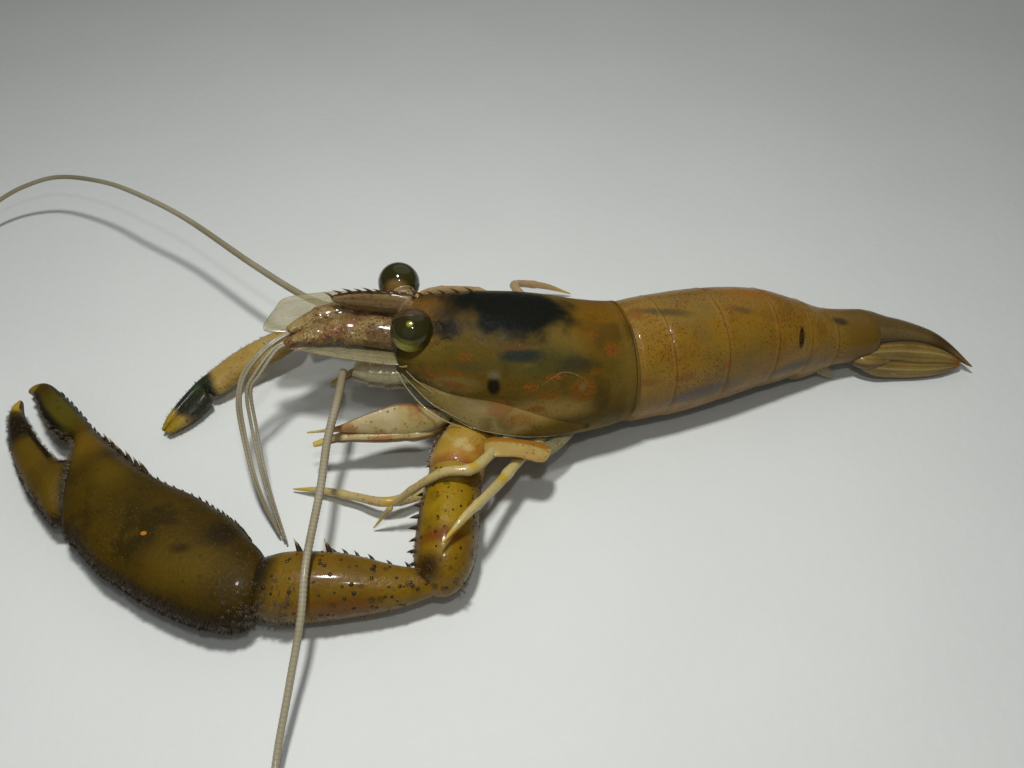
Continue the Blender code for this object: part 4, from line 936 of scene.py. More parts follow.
CREASES = {
    # the flank crease is a real groove, drawn pale as a painted glint along it
    "flank_crease": (((2.3, -8.0, 9.95), (3.6, -7.35, 10.55), (4.4, -7.05, 10.65), (5.6, -7.2, 10.3),
                      (6.3, -7.6, 9.8)), scale_finish),
    "cheek_arc": (((-8.3, -6.3, 9.9), (-7.5, -6.6, 9.7), (-7.1, -7.0, 9.1), (-7.3, -7.3, 8.6)), tooth_finish),
}
for name, (route, coat) in CREASES.items():
    line = [own_mm(spot[0]) for spot in spots_on(crest, route, 24, FROM_CAMERA, (0, 0, 0), 1, 0, 0)]
    bead(name, line, 0.035, "carapace_shell", coat, count=30)
print("fold, rims and creases:", 1 + len(RIMS) + len(CREASES))


# %% Rostrum teeth and cheek spines
CREST = ((-15.3, -0.5, 13.2), (-12.8, -0.8, 13.8), (-10.5, -1.0, 14.0), (-8.6, -0.9, 14.0),
         (-6.6, -0.2, 14.3), (-3.4, 0.3, 14.3))
tooth = thorn("tooth_pattern", 8, 1.0, 0.15, 0.45)
spots = spots_on(crest, CREST, 15, (0, 0, -1), (-0.65, 0, 0), 0.95, 0.05)
line = [own_mm(spot[0]) for spot in spots_on(crest, CREST[:-1], 30, (0, 0, -1), (0, 0, 0), 1, 0)]
bead("crest_line", [spot + (0, 0, 0.02) for spot in line], 0.13, "carapace_shell", tooth_finish)
spots += spots_on(crest, ((-14.3, -0.7, 12.0), (-11.6, -1.0, 11.0)), 3, (0, 0, 1), (-1.1, 0, 0), 0.65, 0.04)
keep(planted("crest_teeth", tooth, spots), "carapace_shell", tooth_finish)
SPINES = (  # a place beside each spine and one just behind it, the way inward, the lean and the size
    (((-8.9, -7.0, 9.7), (-8.7, -7.0, 9.7)), (0, 1, 0), (-2.6, 0, 0), 0.8),
    (((-8.9, 4.0, 9.3), (-8.7, 4.0, 9.3)), (0, -1, 0), (-2.6, 0, 0), 1.1),
    (((-5.9, 5.0, 8.6), (-5.7, 5.0, 8.6)), (0, -1, 0), (-1.2, 0, 0), 0.9),
)
spots = []
for route, inward, lean, size in SPINES:
    spots += spots_on(crest, route, 1, inward, lean, size, 0.02, 0.02)
keep(planted("cheek_spines", tooth, spots), "carapace_shell", blade_finish)
print("crest teeth and cheek spines set")


# %% [markdown]
# Each eye is a glossy ball on a short stalk that wraps its inner half like a cup. The ball is a sphere
# with a dark, faintly green cornea; the cup is drawn out along the stalk and stops in a rounded rim.

# %% Eyes
EYES = {"left": ((-8.3, -3.8, 12.2), (-9.2, -1.6, 10.9)), "right": ((-10.1, 3.2, 11.3), (-9.2, -0.2, 10.9))}
eye_finish = finish(
    "eye_cornea", (0.022, 0.020, 0.003),
    [(cloud(500, 0.4, 0.6, 0.4), (0.035, 0.032, 0.006)),
     (stain((-8.9, -5.4, 11.7), (1.9, 1.3, 1.3), 0.9, 0.9, 0.1), (0.42, 0.390, 0.016)),
     (stain((-8.3, -5.2, 10.65), (2.2, 1.3, 0.75), 0.95, 0.8, 0.1), (0.42, 0.36, 0.14)),
     # painted eyeshine: a small yellow-green spot of light glowing back out of the near eye, fixed for this
     # view
     (stain((-8.30, -4.7, 13.85), (0.40, 0.4, 0.28), 0.9, 0.7, 0.1), (0.30, 0.29, 0.02)),
     (stain((-8.2, -5.6, 11.6), (0.5, 0.4, 0.6), 0.6, 0.9, 0.1), (0.30, 0.29, 0.04)),
     (stain((-10.1, 3.2, 11.3), (2.0, 2.0, 2.0), 0.8, 0.5, 0.1), (0.075, 0.048, 0.010)),
     (stain((-10.1, 1.6, 12.2), (1.5, 0.9, 1.0), 0.9, 0.7, 0.1), (0.20, 0.115, 0.03))],
    gloss=(0.06, 0.12), coat=0.45, shine=0.3)
cup_finish = finish(
    "eye_cup", (0.17, 0.10, 0.03),
    [(cloud(500, 0.42, 0.6, 0.8), (0.26, 0.18, 0.08)),
     (stain((-9.6, 0.6, 11.4), (2.0, 1.8, 1.6), 0.8, 0.8), (0.55, 0.42, 0.25)),
     (stain((-8.3, -3.2, 13.6), (2.6, 1.7, 1.4), 0.95, 0.5), (0.050, 0.028, 0.008)),
     (dots(2300, 0.26, 0.9), (0.10, 0.03, 0.005))],
    gloss=(0.15, 0.3), coat=0.6, relief=[(cloud(900, 0.3, 0.7, 1), 0.08)], soft=0.15)
EYE_RADIUS, CUP_RADIUS, LIP_RADIUS = 1.85, 1.93, 1.88
CUP_SIDES = 28


def make_eye(side, centre, root, back, cover, stalk):
    """A ball, and the cup that holds it from the side `back`, over `cover` degrees of it."""
    rest_hands()
    bpy.ops.mesh.primitive_uv_sphere_add(segments=40, ring_count=24, radius=EYE_RADIUS * MM,
                                         location=at(*centre))
    ball = bpy.context.object
    ball.name = "eye_ball_" + side
    bpy.ops.object.transform_apply(location=True)
    bpy.ops.object.shade_smooth()
    keep(ball, "eye", eye_finish, "eye_" + side)
    end, back = np.array(centre, float), np.array(back, float)
    back /= np.linalg.norm(back)
    across = np.cross((1, 0, 0), back)
    across /= np.linalg.norm(across)
    lift = np.cross(back, across)
    levels = []  # how far back each ring of the cup lies, and its radius
    for angle in np.radians((4, 12, *np.linspace(22, cover, 7))):
        levels.append((CUP_RADIUS * math.cos(angle), CUP_RADIUS * math.sin(angle)))
    lip = math.radians(cover + 1.5)
    levels += [(EYE_RADIUS * math.cos(lip), LIP_RADIUS * math.sin(lip)), (0.6, 1.2)]
    rings = [outline(end + back * far, across * reach, lift * reach, lift * reach, CUP_SIDES)
             for far, reach in levels]
    keep(drawn_out("eye_cup_" + side, rings), "pale_shell", cup_finish)
    meet = end + back * 1.5
    middle = (np.array(root) + meet) / 2 + (0, 0, 0.1)
    stations = [(*root, stalk), (*middle, stalk * 1.05), (*meet, stalk * 1.3)]
    keep(drawn_out("eye_stem_" + side, limb_rings(stations, 14, 20)), "pale_shell", cup_finish,
         "eyestalk_" + side)


make_eye("left", *EYES["left"], (-0.05, 0.86, 0.5), 64, 0.95)
make_eye("right", *EYES["right"], (0.3, -0.93, -0.1), 36, 0.7)
print("eyes set")


# %% [markdown]
# Six hoops of shell make the tail. Each slides under the rim of the one before it, so each piece starts a
# little small, swells to its full section and ends in a fine rolled rim. The side lobes hang lower in the
# middle of each hoop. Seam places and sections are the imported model's.

# %% Tail hoops
SEAMS = ((9.5, -1.5, 5.95, 5.1, 5.55, 5.9), (12.4, -0.5, 5.7, 5.25, 5.6, 5.7),
         (17.4, 1.1, 5.4, 5.05, 5.45, 5.4), (22.6, 2.7, 4.85, 4.45, 4.75, 4.6),
         (26.6, 3.5, 4.15, 3.6, 3.65, 3.7), (30.0, 4.1, 3.6, 2.85, 2.65, 2.85),
         (34.7, 4.85, 3.25, 2.5, 2.3, 2.45))
LOBES = (0.0, 0.08, 0.06, 0.12, 0.42, 0.0)  # how much the side lobes of each hoop hang down
STEPS = 12  # rings in a hoop
FRONT_RIM = ((0.90, -0.7), (0.945, -0.35), (0.962, 0.0))  # the size of each ring, and how far on it lies
REAR_RIM = ((1.010, 0.08), (0.998, 0.18), (0.93, 0.0))
LAST_RIM = ((0.91, 0.0), (0.80, 0.15), (0.62, 0.1))  # no rim: it narrows to where the telson comes out of it
whole = smooth(SEAMS, STEPS * (len(SEAMS) - 1) + 1)
at_seams = headings(np.array(SEAMS)[:, :3])
spread = np.linspace(0, len(at_seams) - 1, len(whole))
aheads = np.stack([np.interp(spread, range(len(at_seams)), axis) for axis in at_seams.T], axis=1)
aheads /= np.linalg.norm(aheads, axis=1)[:, None]
for index, swell in enumerate(LOBES):
    rows, own = whole[index * STEPS:(index + 1) * STEPS + 1], aheads[index * STEPS:(index + 1) * STEPS + 1]
    hoop = trunk_rings(rows, own, low_power=lambda s: 2.05, hollow=0.34, swell=swell)
    front = [shrunk(hoop[0], size, own[0] * shift) for size, shift in FRONT_RIM]
    if index < len(LOBES) - 1:
        rear = [shrunk(hoop[-1], size, own[-1] * shift) for size, shift in REAR_RIM]
        inner = np.arange(1, len(hoop)) / STEPS * 0.97
        shares = [-0.2, -0.1, 0.0, *inner, 0.985, 1.0, 1.1]
    else:
        rear = [shrunk(hoop[-2], 0.975, 0)]
        rear += [shrunk(hoop[-1], size, own[-1] * shift) for size, shift in LAST_RIM]
        hoop = hoop[:-2]
        shares = np.linspace(-0.2, 0.9, len(front) + len(hoop) - 1 + len(rear))
    piece = drawn_out(f"tail_hoop_{index + 1}", [*front, *hoop[1:], *rear], shares=shares)
    keep(piece, "tail_shell", tail_finish, f"abdomen_{index + 1}")
print("tail hoops:", len(LOBES))


# %% [markdown]
# The tail ends in a pointed telson between two pairs of blades. They are flat pieces between two measured
# edges, with a thicker rib, and the blades are thin enough to let light through.

# %% Tail fan
TELSON = ((33.4, 7.2, 3.9, 33.4, 2.7, 3.9, 1.6), (34.6, 7.0, 3.9, 34.6, 2.9, 3.8, 1.55),
          (36.0, 6.6, 3.7, 36.0, 3.3, 3.6, 1.3), (38.5, 6.4, 3.2, 38.5, 3.9, 3.1, 0.98),
          (41.2, 6.0, 2.4, 41.2, 4.1, 2.3, 0.7), (43.0, 5.1, 1.7, 43.0, 3.7, 1.6, 0.45),
          (44.4, 3.7, 1.1, 44.3, 2.9, 1.1, 0.2), (45.0, 2.75, 0.9, 45.0, 2.6, 0.9, 0.06))
keep(drawn_out("telson_plate", blade_rings(TELSON, 34, 24)), "tail_shell", telson_finish, "telson")
FANS = {
    "inner_left": ((33.9, 3.1, 3.7, 34.1, 2.2, 2.4, 0.5), (35.4, 3.5, 3.6, 35.5, 2.3, 2.2, 0.55),
                   (37.2, 3.9, 3.4, 37.3, 2.5, 1.9, 0.5), (39.4, 4.2, 2.9, 39.5, 2.5, 1.6, 0.42),
                   (41.6, 4.1, 2.2, 41.7, 2.7, 1.4, 0.34), (43.2, 3.7, 1.5, 43.3, 2.9, 1.1, 0.22),
                   (44.0, 3.3, 1.1, 44.0, 3.1, 1.0, 0.1)),
    "outer_left": ((33.7, 2.6, 2.6, 33.6, 1.7, 1.5, 0.4), (35.3, 2.6, 2.3, 35.2, 1.5, 0.8, 0.45),
                   (37.2, 2.7, 2.05, 37.1, 1.65, 0.45, 0.38), (39.4, 2.7, 1.8, 39.3, 1.75, 0.36, 0.32),
                   (41.6, 2.9, 1.5, 41.6, 2.1, 0.34, 0.26), (43.1, 3.1, 1.15, 43.1, 2.6, 0.45, 0.2),
                   (44.0, 3.1, 0.85, 44.0, 2.95, 0.7, 0.1)),
    "inner_right": ((34.0, 7.1, 3.6, 34.0, 7.7, 2.5, 0.4), (36.6, 7.0, 3.0, 36.8, 7.7, 2.0, 0.36),
                    (39.0, 6.8, 2.4, 39.2, 7.6, 1.5, 0.32), (41.4, 6.2, 1.8, 41.6, 6.8, 1.2, 0.27),
                    (43.0, 5.3, 1.1, 43.0, 5.5, 0.9, 0.15)),
    "outer_right": ((34.0, 7.5, 2.0, 34.0, 8.1, 1.2, 0.34), (36.6, 7.8, 1.3, 36.8, 8.5, 0.5, 0.3),
                    (39.0, 7.7, 1.0, 39.2, 8.3, 0.35, 0.27), (41.4, 6.9, 0.8, 41.6, 7.3, 0.33, 0.22),
                    (42.6, 6.0, 0.6, 42.6, 6.2, 0.38, 0.12)),
}
for name, rows in FANS.items():
    keep(drawn_out("fan_" + name, blade_rings(rows, 30, 24, 1.8)), "tail_fan", fan_finish, "uropod_" + name)
HINGE = ((32.8, 2.6, 2.1, 0.5), (33.9, 2.3, 2.2, 0.85), (35.1, 2.4, 2.1, 0.75), (36.6, 2.6, 1.9, 0.3))
keep(drawn_out("fan_hinge_left", limb_rings(HINGE, 14, 16)), "tail_fan", fan_finish)
spur = [(34.6, 2.2, 1.5, 0.4), (35.8, 1.9, 1.1, 0.34), (37.3, 1.6, 0.9, 0.06)]
keep(drawn_out("fan_spur_left", limb_rings(spur, 12, 12)), "tail_fan", scale_finish)
SWIMMER = ((0.0, 0.45), (0.4, 0.75), (0.75, 0.6), (1.0, 0.2))  # half the width at each share of its length
for index in range(5):
    last = index == 4  # the last blades hang along the tail, the others across it
    front, rear = np.array(SEAMS[index]), np.array(SEAMS[index + 1])
    run = (rear - front)[:3]
    side = np.cross((0, 0, 1), run)
    side /= np.linalg.norm(side)
    flat = run / np.linalg.norm(run) * 1.4 if last else side
    for hand, name in ((-1, "left"), (1, "right")):
        out = side * hand * front[3] * (0.55 if last and hand < 0 else 0.24)
        root = front[:3] + run * (0.8 if last else 0.34) + out
        tip = front[:3] + run * (1.15 if last else 0.84) + out * 1.2
        root[2] -= front[5] * 0.52
        tip[2] = 0.34
        rows = []
        for share, wide in SWIMMER:
            centre = root + (tip - root) * share
            rows.append((*(centre + flat * wide), *(centre - flat * wide), 0.22))
        keep(drawn_out(f"swimming_limb_{index + 1}_{name}", blade_rings(rows, 16, 16)), "tail_fan",
             scale_finish if last else fan_finish)
print("tail fan set")


# %% [markdown]
# The head carries two pairs of feelers. The short ones stand on stout stems of three joints under the
# rostrum, the long ones on a stem each with a broad thin scale over it. The whips are hundreds of fine
# rings, so each is one tube whose radius beats once for every ring.

# %% Stems, scales and whips
def joints(*places, width=0.035, height=0.14, neck=0.10):
    """How much a limb stands out at its joints: a collar before each place and a thin neck on it."""
    def swell(share):
        out = 1.0
        for spot in places:
            out += height * math.exp(-(((share - spot + width * 1.2) / width) ** 2))
            out -= neck * math.exp(-(((share - spot) / (width * 0.6)) ** 2))
        return out
    return swell


STEMS = {
    "antennule_left": ((-8.0, -2.6, 9.9, 1.3), (-11.5, -2.1, 10.4, 1.45), (-14.6, -2.1, 10.5, 1.2),
                       (-17.2, -2.7, 10.4, 0.85), (-19.4, -3.5, 10.2, 0.4)),
    "antennule_right": ((-8.0, 0.2, 9.9, 1.3), (-11.5, 0.4, 10.4, 1.4), (-14.6, 0.1, 10.5, 1.3),
                        (-17.2, -0.9, 10.5, 1.0), (-19.3, -2.2, 10.4, 0.5)),
    "antenna_base_left": ((-7.6, -4.4, 7.4, 1.15), (-11.0, -4.6, 7.5, 1.1), (-13.7, -4.1, 7.7, 0.85)),
    "antenna_base_right": ((-7.6, 1.8, 7.4, 1.15), (-11.0, 3.0, 7.3, 1.1), (-15.0, 3.1, 7.7, 0.8)),
}
for name, stations in STEMS.items():
    rings = limb_rings(stations, 36, 20, joints(0.5, 0.75))
    coat = scale_finish if name == "antenna_base_left" else stem_finish
    keep(drawn_out(name + "_stem", rings), "pale_shell", coat, name)
SCALES = {
    "left": ((-8.0, -5.2, 9.4, -8.0, -2.8, 8.9), (-11.0, -5.2, 9.6, -11.0, -1.9, 8.7),
             (-15.0, -4.7, 9.9, -15.0, -1.3, 8.6), (-18.4, -4.0, 10.1, -18.6, -1.1, 8.7),
             (-20.6, -3.4, 10.0, -20.9, -2.0, 9.2), (-21.4, -2.9, 9.9, -21.5, -2.5, 9.7)),
    "right": ((-8.0, 3.0, 9.0, -8.0, 1.2, 8.6), (-11.0, 4.4, 9.0, -11.0, 1.2, 8.4),
              (-15.5, 4.3, 9.4, -15.5, 0.2, 8.5), (-20.4, 3.5, 9.4, -19.4, -0.5, 8.7),
              (-21.4, 2.0, 9.3, -21.2, -0.7, 8.9), (-22.1, 0.0, 9.1, -22.0, -0.5, 9.0)),
}
for side, rows in SCALES.items():
    rings = blade_rings([(*row, 0.22) for row in rows], 30, 20)
    keep(drawn_out("antenna_scale_blade_" + side, rings), "pale_shell", scale_finish, "antenna_scale_" + side)


RING_OUT, RING_IN = 1.03, 0.94  # how a whip's radius beats


def whip(name, route, start, end, step, *nodes):
    """A tapering whip with one beat of its radius for every ring, `step` millimetres long."""
    line = smooth(route, 400)
    run = np.concatenate([[0], np.cumsum(np.linalg.norm(np.diff(line, axis=0), axis=1))])
    count = int(run[-1] / step) * 2 + 1
    spots = np.linspace(0, run[-1], count)
    rows = np.stack([np.interp(spots, run, axis) for axis in line.T], axis=1)
    radii = start + (end - start) * spots / run[-1]
    rows[:, 2] = np.maximum(rows[:, 2], radii)
    radii = radii * np.where(np.arange(count) % 2, RING_OUT, RING_IN)
    rings = round_rings(rows, radii, 8)
    return keep(drawn_out(name, rings, rounding=0), "feeler", whip_finish, *nodes)


ANTENNAE = {
    "left": ((-14.6, -4.3, 7.8), (-14.6, -7.8, 8.0), (-15.0, -11.5, 7.4), (-15.0, -16.2, 6.9),
             (-15.2, -22.4, 6.5), (-15.2, -26.3, 5.2), (-15.7, -30.6, 3.2), (-16.1, -35.3, 1.6),
             (-15.8, -41.0, 0.7), (-14.0, -48.0, 0.3), (-10.5, -55.0, 0.3), (-5.0, -61.0, 0.3),
             (3.0, -64.8, 0.3)),
    "right": ((-15.5, 3.2, 7.9), (-19.2, 4.4, 8.6), (-24.7, 8.3, 9.2), (-32.9, 15.4, 9.2),
              (-39.1, 19.6, 9.2), (-44.4, 23.4, 8.0), (-50.2, 26.2, 6.6), (-54.2, 26.5, 5.4),
              (-57.5, 25.3, 4.2), (-61.0, 22.0, 2.6), (-64.0, 17.0, 1.4), (-66.0, 11.0, 0.7),
              (-66.8, 4.0, 0.3), (-66.0, -3.0, 0.3)),
}
BUNDLE = [np.array(route) for route in (
    ((-19.9, -4.1, 10.2), (-21.2, -6.0, 9.2), (-22.0, -6.9, 8.2), (-21.7, -8.7, 6.0), (-20.6, -12.5, 3.2),
     (-18.7, -16.9, 0.5)),
    ((-21.0, -3.7, 10.1), (-22.6, -5.6, 9.2), (-23.1, -7.2, 7.9), (-22.9, -9.0, 6.3), (-21.6, -12.8, 3.3),
     (-19.5, -16.2, 0.6)))]
FLAGELLA = {  # where each starts, and its place between the two routes of the bundle
    "outer_left": ((-18.7, -3.3, 10.3), 0.0), "inner_left": ((-18.8, -3.0, 10.4), 0.30),
    "outer_right": ((-18.9, -1.9, 10.5), 1.0), "inner_right": ((-18.9, -2.2, 10.5), 0.80)}
for side, radius in (("left", 0.37), ("right", 0.34)):
    whip("long_whip_" + side, ANTENNAE[side], radius, 0.15, 0.34, *(f"antenna_{side}_{n}" for n in (1, 2, 3)))
for side, (start, share) in FLAGELLA.items():
    route = [start, *(BUNDLE[0] * (1 - share) + BUNDLE[1] * share).tolist()]
    whip("short_whip_" + side, route, 0.19, 0.09, 0.30, "flagellum_" + side)
print("stems, scales and whips set")


# %% [markdown]
# Under the head the mouth limbs and the slim first legs are held forward, and three thin walking legs a
# side go out to a knee and down to a pointed toe. Each is one tube with a collar and a neck at its joints.
# Only the near mouth limb is a broad plate. A brown plate and a pale flap lie over the bases of the legs.

# %% Legs
LEGS = {
    "leg1_left": ((-5.0, -4.0, 4.6, 0.8), (-6.6, -7.6, 4.3, 0.85), (-10.5, -8.5, 4.2, 0.7),
                  (-14.5, -8.8, 4.3, 0.5), (-17.1, -9.4, 4.0, 0.25)),
    "maxilliped_right": ((-6.0, 0.2, 6.6, 0.9), (-8.8, 1.4, 5.2, 0.9), (-11.5, 1.6, 4.9, 0.75),
                         (-14.6, 1.0, 4.6, 0.3)),
    "leg1_right": ((-5.0, 0.6, 4.4, 0.8), (-7.6, 2.2, 3.4, 0.8), (-11.0, 2.6, 2.6, 0.6),
                   (-14.5, 1.6, 1.8, 0.5), (-17.4, 0.4, 0.9, 0.25)),
    "leg3_left": ((-1.8, -4.5, 3.0, 0.6), (-2.6, -7.6, 2.0, 0.6), (-6.8, -12.0, 1.2, 0.55),
                  (-10.4, -13.9, 2.0, 0.55), (-13.4, -12.9, 1.3, 0.45), (-16.5, -11.9, 0.8, 0.38),
                  (-19.2, -11.4, 0.3, 0.22)),
    "leg4_left": ((1.0, -4.5, 3.4, 0.7), (0.2, -8.8, 5.2, 0.7), (-1.3, -11.6, 6.3, 0.6),
                  (-3.1, -14.5, 7.5, 0.55), (-5.4, -14.8, 7.4, 0.5), (-8.0, -15.0, 5.3, 0.42),
                  (-9.8, -15.2, 3.3, 0.35), (-11.7, -15.4, 0.25, 0.22)),
    "leg5_left": ((3.6, -4.5, 3.4, 0.7), (2.4, -8.8, 4.4, 0.7), (0.7, -11.6, 5.0, 0.6),
                  (-0.8, -14.1, 5.4, 0.55), (-2.2, -16.8, 6.7, 0.48), (-3.6, -18.9, 7.3, 0.4),
                  (-5.3, -21.0, 6.8, 0.22)),
    "leg3_right": ((-1.2, 0.0, 3.0, 0.6), (-2.6, 5.6, 3.6, 0.6), (-5.4, 9.3, 3.8, 0.5),
                   (-9.0, 10.2, 2.4, 0.4), (-12.0, 10.8, 1.2, 0.38), (-14.5, 10.3, 0.25, 0.22)),
    "leg4_right": ((1.2, 0.0, 3.2, 0.7), (-0.4, 6.4, 4.2, 0.7), (-2.8, 9.6, 4.2, 0.55),
                   (-5.3, 11.4, 3.2, 0.45), (-8.6, 13.0, 1.6, 0.4), (-11.2, 13.0, 0.25, 0.22)),
    "leg5_right": ((3.6, 0.0, 3.2, 0.7), (2.4, 6.6, 4.0, 0.7), (0.4, 10.6, 4.0, 0.55), (0.6, 12.5, 3.0, 0.5),
                   (3.4, 13.6, 1.7, 0.42), (6.3, 14.0, 0.25, 0.22)),
}
SLIMMER, TOE = 0.8, 0.06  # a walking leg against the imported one, and the radius at its pointed toe
for name, stations in LEGS.items():
    mouth = name.startswith(("max", "leg1"))
    if mouth:
        bend = joints(0.42, 0.8, width=0.03, height=0.1)
    else:
        bend = joints(0.22, 0.48, 0.75, width=0.02, height=0.2)
        toe = (*stations[-1][:3], TOE)
        stations = [(x, y, z, radius * SLIMMER) for x, y, z, radius in stations[:-1]] + [toe]
    rings = limb_rings(stations, 60, 16, bend, flat=0.8 if mouth else 1.0)
    keep(drawn_out(name + "_limb", rings), "pale_shell", mouth_finish if mouth else leg_finish, name)
MOUTH_PLATE = ((-4.4, -6.4, 6.8, -4.8, -6.8, 5.3, 0.4), (-5.6, -7.7, 6.8, -6.2, -8.3, 5.0, 0.5),
               (-8.0, -7.1, 6.7, -8.2, -8.7, 4.6, 0.42), (-9.9, -6.9, 6.5, -10.6, -8.8, 4.6, 0.34),
               (-12.3, -7.6, 6.1, -12.9, -8.8, 4.8, 0.26), (-15.0, -8.6, 5.5, -15.2, -8.9, 5.1, 0.18),
               (-17.6, -8.7, 4.9, -17.6, -8.8, 4.8, 0.08))
keep(drawn_out("maxilliped_left_plate", blade_rings(MOUTH_PLATE, 44, 20, 1.5)), "pale_shell", mouth_finish,
     "maxilliped_left")
bar_finish = finish(
    "leg_base_brown", (0.42, 0.31, 0.10),
    [(cloud(420, 0.42, 0.6, 0.7), (0.36, 0.22, 0.05)),
     (band(0.05, 1.3, 0.9, 0.25, "across"), (0.30, 0.125, 0.008)),
     (dots(2600, 0.24, 0.7), (0.16, 0.05, 0.006))],
    gloss=(0.2, 0.36), coat=0.3, soft=0.2)
BAR = ((-2.3, -10.6, 6.2, -2.3, -12.3, 6.5, 0.25), (-1.4, -10.3, 6.2, -1.4, -12.8, 6.8, 0.36),
       (0.4, -10.3, 5.9, 0.4, -12.5, 6.4, 0.36), (1.9, -10.3, 5.6, 1.9, -12.7, 6.0, 0.32),
       (2.7, -10.5, 5.4, 2.7, -12.4, 5.6, 0.26), (3.2, -10.7, 5.3, 3.2, -11.5, 5.4, 0.16))
keep(drawn_out("leg_base_bar", blade_rings(BAR, 24, 20)), "pale_shell", bar_finish)
FLAP = ((1.6, -9.6, 4.7, 1.5, -11.1, 4.2, 0.3), (3.0, -9.4, 4.5, 2.9, -10.8, 4.0, 0.36),
        (4.2, -8.2, 4.4, 4.3, -9.6, 3.9, 0.3), (5.2, -7.4, 4.3, 5.4, -8.2, 3.9, 0.2))
keep(drawn_out("leg_base_flap", blade_rings(FLAP, 20, 20)), "pale_shell", scale_finish)
print("legs and mouth limbs:", len(LEGS) + 1)


# %% [markdown]
# The great claw is the left arm: a short ischium, a long merus, a tapering carpus and the heavy palm with
# one fixed and one moving finger. The first three are tubes, the palm and fingers are pieces between two
# measured edges, and rows of clear-tipped thorns stand along their front and inner edges.

# %% Great claw
ARM = {
    "ischium": ((-2.9, -4.0, 5.0, 1.7), (-3.3, -8.4, 4.8, 2.1), (-4.3, -11.0, 4.5, 2.35),
                (-4.7, -12.6, 4.4, 2.3), (-4.8, -13.4, 4.35, 1.7)),
    "merus": ((-4.5, -12.1, 4.4, 1.9), (-4.7, -13.2, 4.35, 2.25), (-5.0, -16.0, 4.2, 2.42),
              (-5.2, -19.0, 3.7, 2.48), (-5.4, -20.9, 3.3, 2.25), (-5.5, -22.2, 3.0, 1.6),
              (-5.6, -23.0, 2.95, 0.6)),
    "carpus": ((-5.4, -21.9, 2.9, 0.7), (-6.8, -22.1, 2.85, 1.15), (-9.5, -22.3, 2.75, 1.8),
               (-13.0, -22.2, 2.75, 2.5), (-16.4, -22.3, 2.8, 2.75), (-18.4, -22.4, 2.8, 2.55),
               (-19.6, -22.4, 2.8, 2.1), (-20.6, -22.4, 2.8, 1.3)),
}
for name, stations in ARM.items():
    rings = limb_rings(stations, 36, 28)
    keep(drawn_out("great_" + name, rings), "great_claw", base_finish if name == "ischium" else arm_finish,
         "claw_left_" + name)
PALM = ((-18.9, -20.9, -18.9, -24.0, 2.85, 1.9), (-19.6, -19.6, -19.6, -25.0, 2.85, 2.35),
        (-20.8, -18.4, -20.8, -25.8, 2.85, 2.65),
        (-22.4, -16.7, -23.6, -25.5, 2.85, 2.8), (-26.1, -14.3, -27.6, -23.8, 2.85, 2.9),
        (-28.9, -13.0, -30.0, -22.4, 2.85, 2.85), (-31.5, -11.4, -32.3, -21.0, 2.85, 2.8),
        (-34.4, -9.2, -34.9, -18.6, 2.8, 2.6), (-36.3, -7.5, -36.1, -17.2, 2.7, 2.3),
        (-37.2, -6.7, -38.1, -8.8, 2.6, 1.5), (-38.8, -5.0, -39.9, -7.7, 2.6, 1.4),
        (-40.8, -3.1, -41.8, -5.9, 2.6, 1.2), (-42.9, -1.35, -43.5, -3.4, 2.5, 0.85),
        (-44.1, -1.2, -44.5, -2.3, 2.45, 0.5), (-44.9, -1.75, -44.85, -2.1, 2.4, 0.2))
FINGER = ((-37.5, -10.0, -35.9, -16.6, 2.6, 1.6), (-38.7, -10.3, -37.4, -16.6, 2.6, 1.85),
          (-39.3, -10.2, -38.9, -15.2, 2.6, 1.8),
          (-40.2, -9.3, -40.8, -13.2, 2.6, 1.6), (-41.6, -8.0, -43.4, -9.6, 2.6, 1.35),
          (-43.3, -6.0, -44.9, -6.6, 2.5, 1.1), (-44.4, -4.5, -45.5, -4.6, 2.4, 0.8),
          (-45.0, -3.1, -45.3, -3.1, 2.4, 0.3))


def edges(rows):
    """Rows of two edges that share one height, opened out for blade_rings."""
    return [(a, b, z, c, d, z, half) for a, b, c, d, z, half in rows]


keep(drawn_out("great_palm", blade_rings(edges(PALM), 61, 32, 2.2)), "great_claw", claw_finish,
     "claw_left_palm")
keep(drawn_out("great_finger", blade_rings(edges(FINGER), 36, 28, 2.1)), "great_claw", finger_finish,
     "claw_left_finger")
spine = thorn("spine_pattern", 8, 1.0, 0.2, 0.12)
hooked = thorn("hooked_pattern", 10, 1.0, 0.24, 0.30)
spots = spots_on(skin_of("great_merus"), ((-8.4, -14.0, 4.9), (-8.8, -21.0, 4.2)), 8, (1, 0, -0.1),
                 (0, -0.25, 0.15), 0.85)
spots += spots_on(skin_of("great_merus"), ((-8.4, -14.8, 3.6), (-8.8, -20.4, 2.9)), 6, (1, 0, 0.1),
                  (0, -0.4, -0.2), 0.55)
spots += spots_on(skin_of("great_carpus"), ((-8.0, -19.9, 3.6), (-11.5, -18.9, 3.8), (-13.8, -18.7, 3.8)), 6,
                  (0, -1, -0.4), (-0.5, 0, 0.1), 0.75)
keep(planted("great_arm_thorns", hooked, spots), "great_claw", bump_finish)
spots = spots_on(skin_of("great_ischium"), ((-6.4, -7.6, 5.2), (-6.9, -12.4, 5.0)), 10, (1, 0, -0.2),
                 (0, -0.4, 0), 0.55)
spots += spots_on(skin_of("great_merus"), ((-4.9, -14.0, 7.6), (-5.4, -21.4, 7.0)), 7, (0, 0, -1),
                  (0, -0.5, 0), 0.45)
spots += spots_on(skin_of("great_carpus"), ((-14.1, -19.4, 5.2), (-16.4, -19.4, 5.4)), 2, (0, -0.6, -0.8),
                  (-0.4, 0.3, 0.2), 1.35, 0.03, 0.05)
